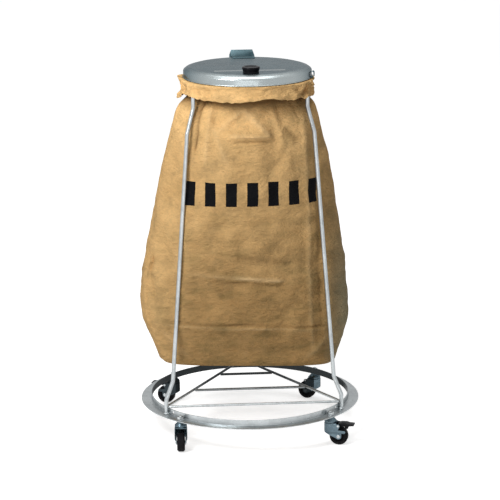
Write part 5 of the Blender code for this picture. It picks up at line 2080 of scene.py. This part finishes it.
@dataclass
class Castor:
    """A swivel castor: stud, race, fork, axle, hub, tyre and, on two of them, a pedal."""

    finishes: FinishSet
    name: str
    place: float
    heading: float
    brake: Brake
    wheel_radius: float = 0.025
    wheel_sides: int = 96
    tyre_width: float = 0.021
    tyre_depth: float = 0.0070
    hub_width: float = 0.0224
    axle_radius: float = 0.003
    axle_head: float = 0.0052
    axle_rise: float = 0.0022
    trail: float = 0.023
    fork_sheet: float = 0.0015
    fork_half: float = 0.017
    crown_under: float = 0.0605
    pivot_back: float = 0.0225
    pivot_down: float = 0.0052
    pivot_hole: float = 0.0017
    pivot_ear: float = 0.0045
    axle_ear: float = 0.0080
    race_radius: float = 0.0165
    race_height: float = 0.0154
    race_bore: float = 0.0053
    hole: float = 0.0056
    stud_radius: float = 0.005
    stud_head: Point2 = (0.0085, 0.003)
    thread_pitch: float = 0.0008
    thread_length: float = 0.0040
    washer_radius: float = 0.0105
    washer_height: float = 0.0015
    nut_half: float = 0.008
    nut_height: float = 0.007

    @property
    def crown_top(self) -> float:
        """Height of the fork's crown."""
        return self.crown_under + self.fork_sheet

    @property
    def pivot(self) -> Point2:
        """Place of the lever's pin, behind the stud and above the floor."""
        return self.pivot_back, self.crown_under - self.pivot_down

    @property
    def fork_inner(self) -> float:
        """Half width between the fork's legs at the crown."""
        return self.fork_half - self.fork_sheet

    @property
    def drawn_in(self) -> float:
        """Share of the fork's width that is left at the hub."""
        return (self.hub_width / 2.0 + 2.0 * GAP) / self.fork_inner

    @property
    def nut_z(self) -> float:
        """Height of the nut's lower face."""
        return STAND.flange_top + 2.0 * GAP + self.washer_height

    def stand(self, heading: float) -> Matrix:
        """Return the castor's place on the ring, turned by a heading in degrees."""
        return (Matrix.Translation(around(STAND.castor_circle, self.place, 0.0))
                @ turn_about(Axis.Z, heading))

    def node(self, part: str) -> str:
        """Return the CAD node of one of this castor's parts."""
        return f"castor_{self.name}_{part}"

    def build(self) -> None:
        """Make every part of the castor."""
        done = self.finishes
        seat, swivel = self.stand(self.place), self.stand(self.heading)
        wheel = swivel @ shift(self.trail, 0.0, self.wheel_radius) @ turn_about(Axis.X, 90.0)
        for part, make, finish, stand in (
                ("tyre", self.tyre, done.rubber, wheel), ("hub", self.hub, done.plastic, wheel),
                ("axle", self.axle, done.zinc, wheel), ("fork", self.fork, done.blue, swivel),
                ("race", self.race, done.blue, seat), ("stud", self.stud, done.zinc, seat),
                ("washer", self.washer, done.zinc, seat), ("nut", self.nut, done.zinc, seat)):
            publish(placed(make(), stand), f"{part}_{self.name}", finish, [self.node(part)])
        if self.brake is Brake.PEDAL:
            for part, finish, width in (("brake_lever", done.plastic, 0.0006),
                                        ("lever_pin", done.zinc, 0.0003)):
                node = self.node(part)
                publish(bevelled(copy_of_node(node), width), f"{part}_{self.name}", finish, [node])

    def tyre(self) -> Shape:
        """Return the tyre with rounded shoulders."""
        outer = self.wheel_radius
        inner, half, edge = outer - self.tyre_depth, self.tyre_width / 2.0, outer - 0.0035
        return spun(softened([
            (inner, half), (edge, half), (outer, half * 0.60), (outer, -half * 0.60),
            (edge, -half), (inner, -half)], 0.0022, 5, closed=True), self.wheel_sides)

    def hub(self) -> Shape:
        """Return the wheel's core with a boss, a thin web and a rim."""
        rim = self.wheel_radius - self.tyre_depth - GAP
        bore = self.axle_radius + 2.0 * GAP
        half, rim_half = self.hub_width / 2.0, self.tyre_width / 2.0 * 0.92
        web, boss = half * 0.5, bore + 0.0032
        side = [(bore, half), (boss, half), (boss + 0.0008, web), (rim - 0.0040, web),
                (rim - 0.0028, rim_half), (rim, rim_half)]
        other = [(radius, -height) for radius, height in reversed(side)]
        return spun(softened([*side, *other], 0.0008, 3, closed=True), self.wheel_sides)

    def axle(self) -> Shape:
        """Return the riveted axle with a domed head outside each leg."""
        leg = self.fork_half * self.drawn_in + GAP
        end, head = leg + self.axle_rise, self.axle_head
        path = [(0.0, end), (head * 0.55, end - 0.0001), (head * 0.9, end - 0.0011), (head, leg),
                (self.axle_radius, leg)]
        return spun([*path, *[(radius, -height) for radius, height in reversed(path)]], 40)

    def race(self) -> Shape:
        """Return the domed ball race between the fork and the ring."""
        low, tall, wide, bore = (self.crown_top + GAP, self.race_height, self.race_radius,
                                 self.race_bore)
        high, neck = low + tall, wide * 0.56
        return spun(softened([
            (bore, high), (neck, high), (neck * 1.15, high - tall * 0.3),
            (wide - 0.0012, low + tall * 0.38), (wide, low + tall * 0.24), (wide, low),
            (bore, low)], 0.0016, 4, closed=True), 72)

    def stud(self) -> Shape:
        """Return the stud with rolled thread on its upper end."""
        radius, pitch = self.stud_radius, self.thread_pitch
        head, tall = self.stud_head
        top = self.crown_under - GAP
        end = self.nut_z + self.nut_height + 0.003
        thread = [(0.0, end), (radius - 0.0010, end), (radius - 0.0002, end - pitch)]
        height = end - pitch
        while height > end - self.thread_length:
            thread += [(radius, height - pitch / 2.0), (radius - 0.0005, height - pitch)]
            height -= pitch
        return spun([
            *thread, (radius, height - 0.0002), (radius, top), (head, top),
            (head, top - 0.0025), (head - 0.0005, top - tall), (0.0, top - tall)], 40)

    def washer(self) -> Shape:
        """Return the flat washer on the flange."""
        low = STAND.flange_top + GAP
        high = low + self.washer_height
        return spun(softened([(self.hole, low), (self.washer_radius, low),
                              (self.washer_radius, high), (self.hole, high)],
                             0.0003, 2, closed=True), 56)

    def nut(self) -> Shape:
        """Return the hexagon nut with chamfered corners."""
        low, tall, chamfer = self.nut_z, self.nut_height, 0.0008
        corner = self.nut_half / math.cos(math.pi / 6.0)
        block = placed(prism(arc((0.0, 0.0), corner, 0.0, 300.0, 5), tall),
                       shift(0.0, 0.0, low + tall / 2.0))
        turned = spun([(0.0, low), (corner * 0.93, low), (corner, low + chamfer),
                       (corner, low + tall - chamfer), (corner * 0.90, low + tall),
                       (0.0, low + tall)], 72)
        bore = placed(drill(self.hole), shift(0.0, 0.0, low))
        return carved(carved(block, [turned], "INTERSECT"), [bore])

    def fork(self) -> Shape:
        """Return the pressed fork: a hood round the front with two legs drawn in at the hub."""
        axle_z, through = self.wheel_radius, 4.0 * self.fork_half
        rear = self.trail + 0.025
        blank = self.hood(self.fork_half, rear, self.crown_top, 0.0022)
        hollow = self.hood(self.fork_inner, rear + 0.010, self.crown_under, 0.0012)
        bmesh.ops.translate(hollow, verts=[v for v in hollow.verts if v.co.z < 0.001],
                            vec=(0.0, 0.0, -0.010))
        side = placed(prism(self.fork_side(), through), turn_about(Axis.X, 90.0))
        body = carved(carved(blank, [hollow]), [side], "INTERSECT")
        top, low = axle_z + 0.015, axle_z + 0.006
        for step in range(9):
            everything = body.verts[:] + body.edges[:] + body.faces[:]
            bmesh.ops.bisect_plane(body, geom=everything, dist=ON_PLANE,
                                   plane_co=(0.0, 0.0, low + (top - low) * step / 8.0),
                                   plane_no=(0.0, 0.0, 1.0))
        for vert in body.verts:
            vert.co.y *= 1.0 + (self.drawn_in - 1.0) * ease((top - vert.co.z) / (top - low))
        holes = [placed(drill(self.hole), shift(0.0, 0.0, self.crown_top))]
        for (x, z), radius in (((self.trail, axle_z), self.axle_radius),
                               (self.pivot, self.pivot_hole)):
            holes.append(placed(drill(radius + 2.0 * GAP, through, 28), shift(x, 0.0, z),
                                turn_about(Axis.X, 90.0)))
        return carved(body, holes)

    @staticmethod
    def hood(half: float, rear: float, high: float, edge: float) -> Shape:
        """Return a solid hood, round in front, with a rounded upper edge.

        Args:
            half: Half width and radius of the nose.
            rear: Where it ends behind.
            high: Height of its top.
            edge: Radius of the upper edge.

        Returns:
            A closed shape that stands on Z = 0.
        """
        outline = [(rear, half), *arc((0.0, 0.0), half, 90.0, 270.0, 30), (rear, -half)]
        shape = placed(prism(outline, high), shift(0.0, 0.0, high / 2.0))
        ring = [item for item in shape.edges if min(v.co.z for v in item.verts) > high - 0.0001]
        return rounded(shape, ring, edge, 4)

    def fork_side(self) -> list[Point2]:
        """Return the fork seen from the side: crown, pivot ear, rear arm and axle ear."""
        axle_z, trail, ear, half = self.wheel_radius, self.trail, self.axle_ear, self.fork_half
        front, high = -half - 0.002, self.crown_top + 0.002
        arm_top, arm_end = axle_z + 0.017, trail + 0.020
        outline = [(front, high), (half, high), (half, self.pivot[1] + self.pivot_ear)]
        outline += arc(self.pivot, self.pivot_ear, 80.0, -30.0, 8)
        outline += softened([
            (trail - 0.001, arm_top + 0.0015), (arm_end - 0.0025, arm_top),
            (arm_end, arm_top - 0.003), (arm_end - 0.003, arm_top - 0.0085),
            (trail + ear, arm_top - 0.0085)], 0.0015, 3)
        outline += arc((trail, axle_z), ear, 0.0, -135.0, 12)
        return [*outline, (-half + 0.003, axle_z + 0.009), (front, axle_z + 0.0125)]


def main() -> None:
    """Build the studio, the finishes and every sub-assembly."""
    logging.basicConfig(level=logging.INFO, format="%(message)s")
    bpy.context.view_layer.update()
    noise.seed_set(NOISE_SEED)
    Studio().build()
    LOG.info("studio built")
    finishes = FinishSet.build()
    LOG.info("finishes built")
    assemblies = [
        BaseRing(finishes), RodWork(finishes), PaperBag(finishes), LidWork(finishes),
        Castor(finishes, "front_left", -45.0, -93.0, Brake.NONE),
        Castor(finishes, "front_right", 45.0, -16.0, Brake.PEDAL),
        Castor(finishes, "rear_right", 135.0, 152.0, Brake.NONE),
        # The rear left castor wears the blue zinc with painted shade
        Castor(replace(finishes, blue=finishes.painted_shade), "rear_left", -135.0, 158.0, Brake.PEDAL)]
    for assembly in assemblies:
        assembly.build()
        LOG.info("%s built", type(assembly).__name__)


if __name__ == "__main__":
    main()
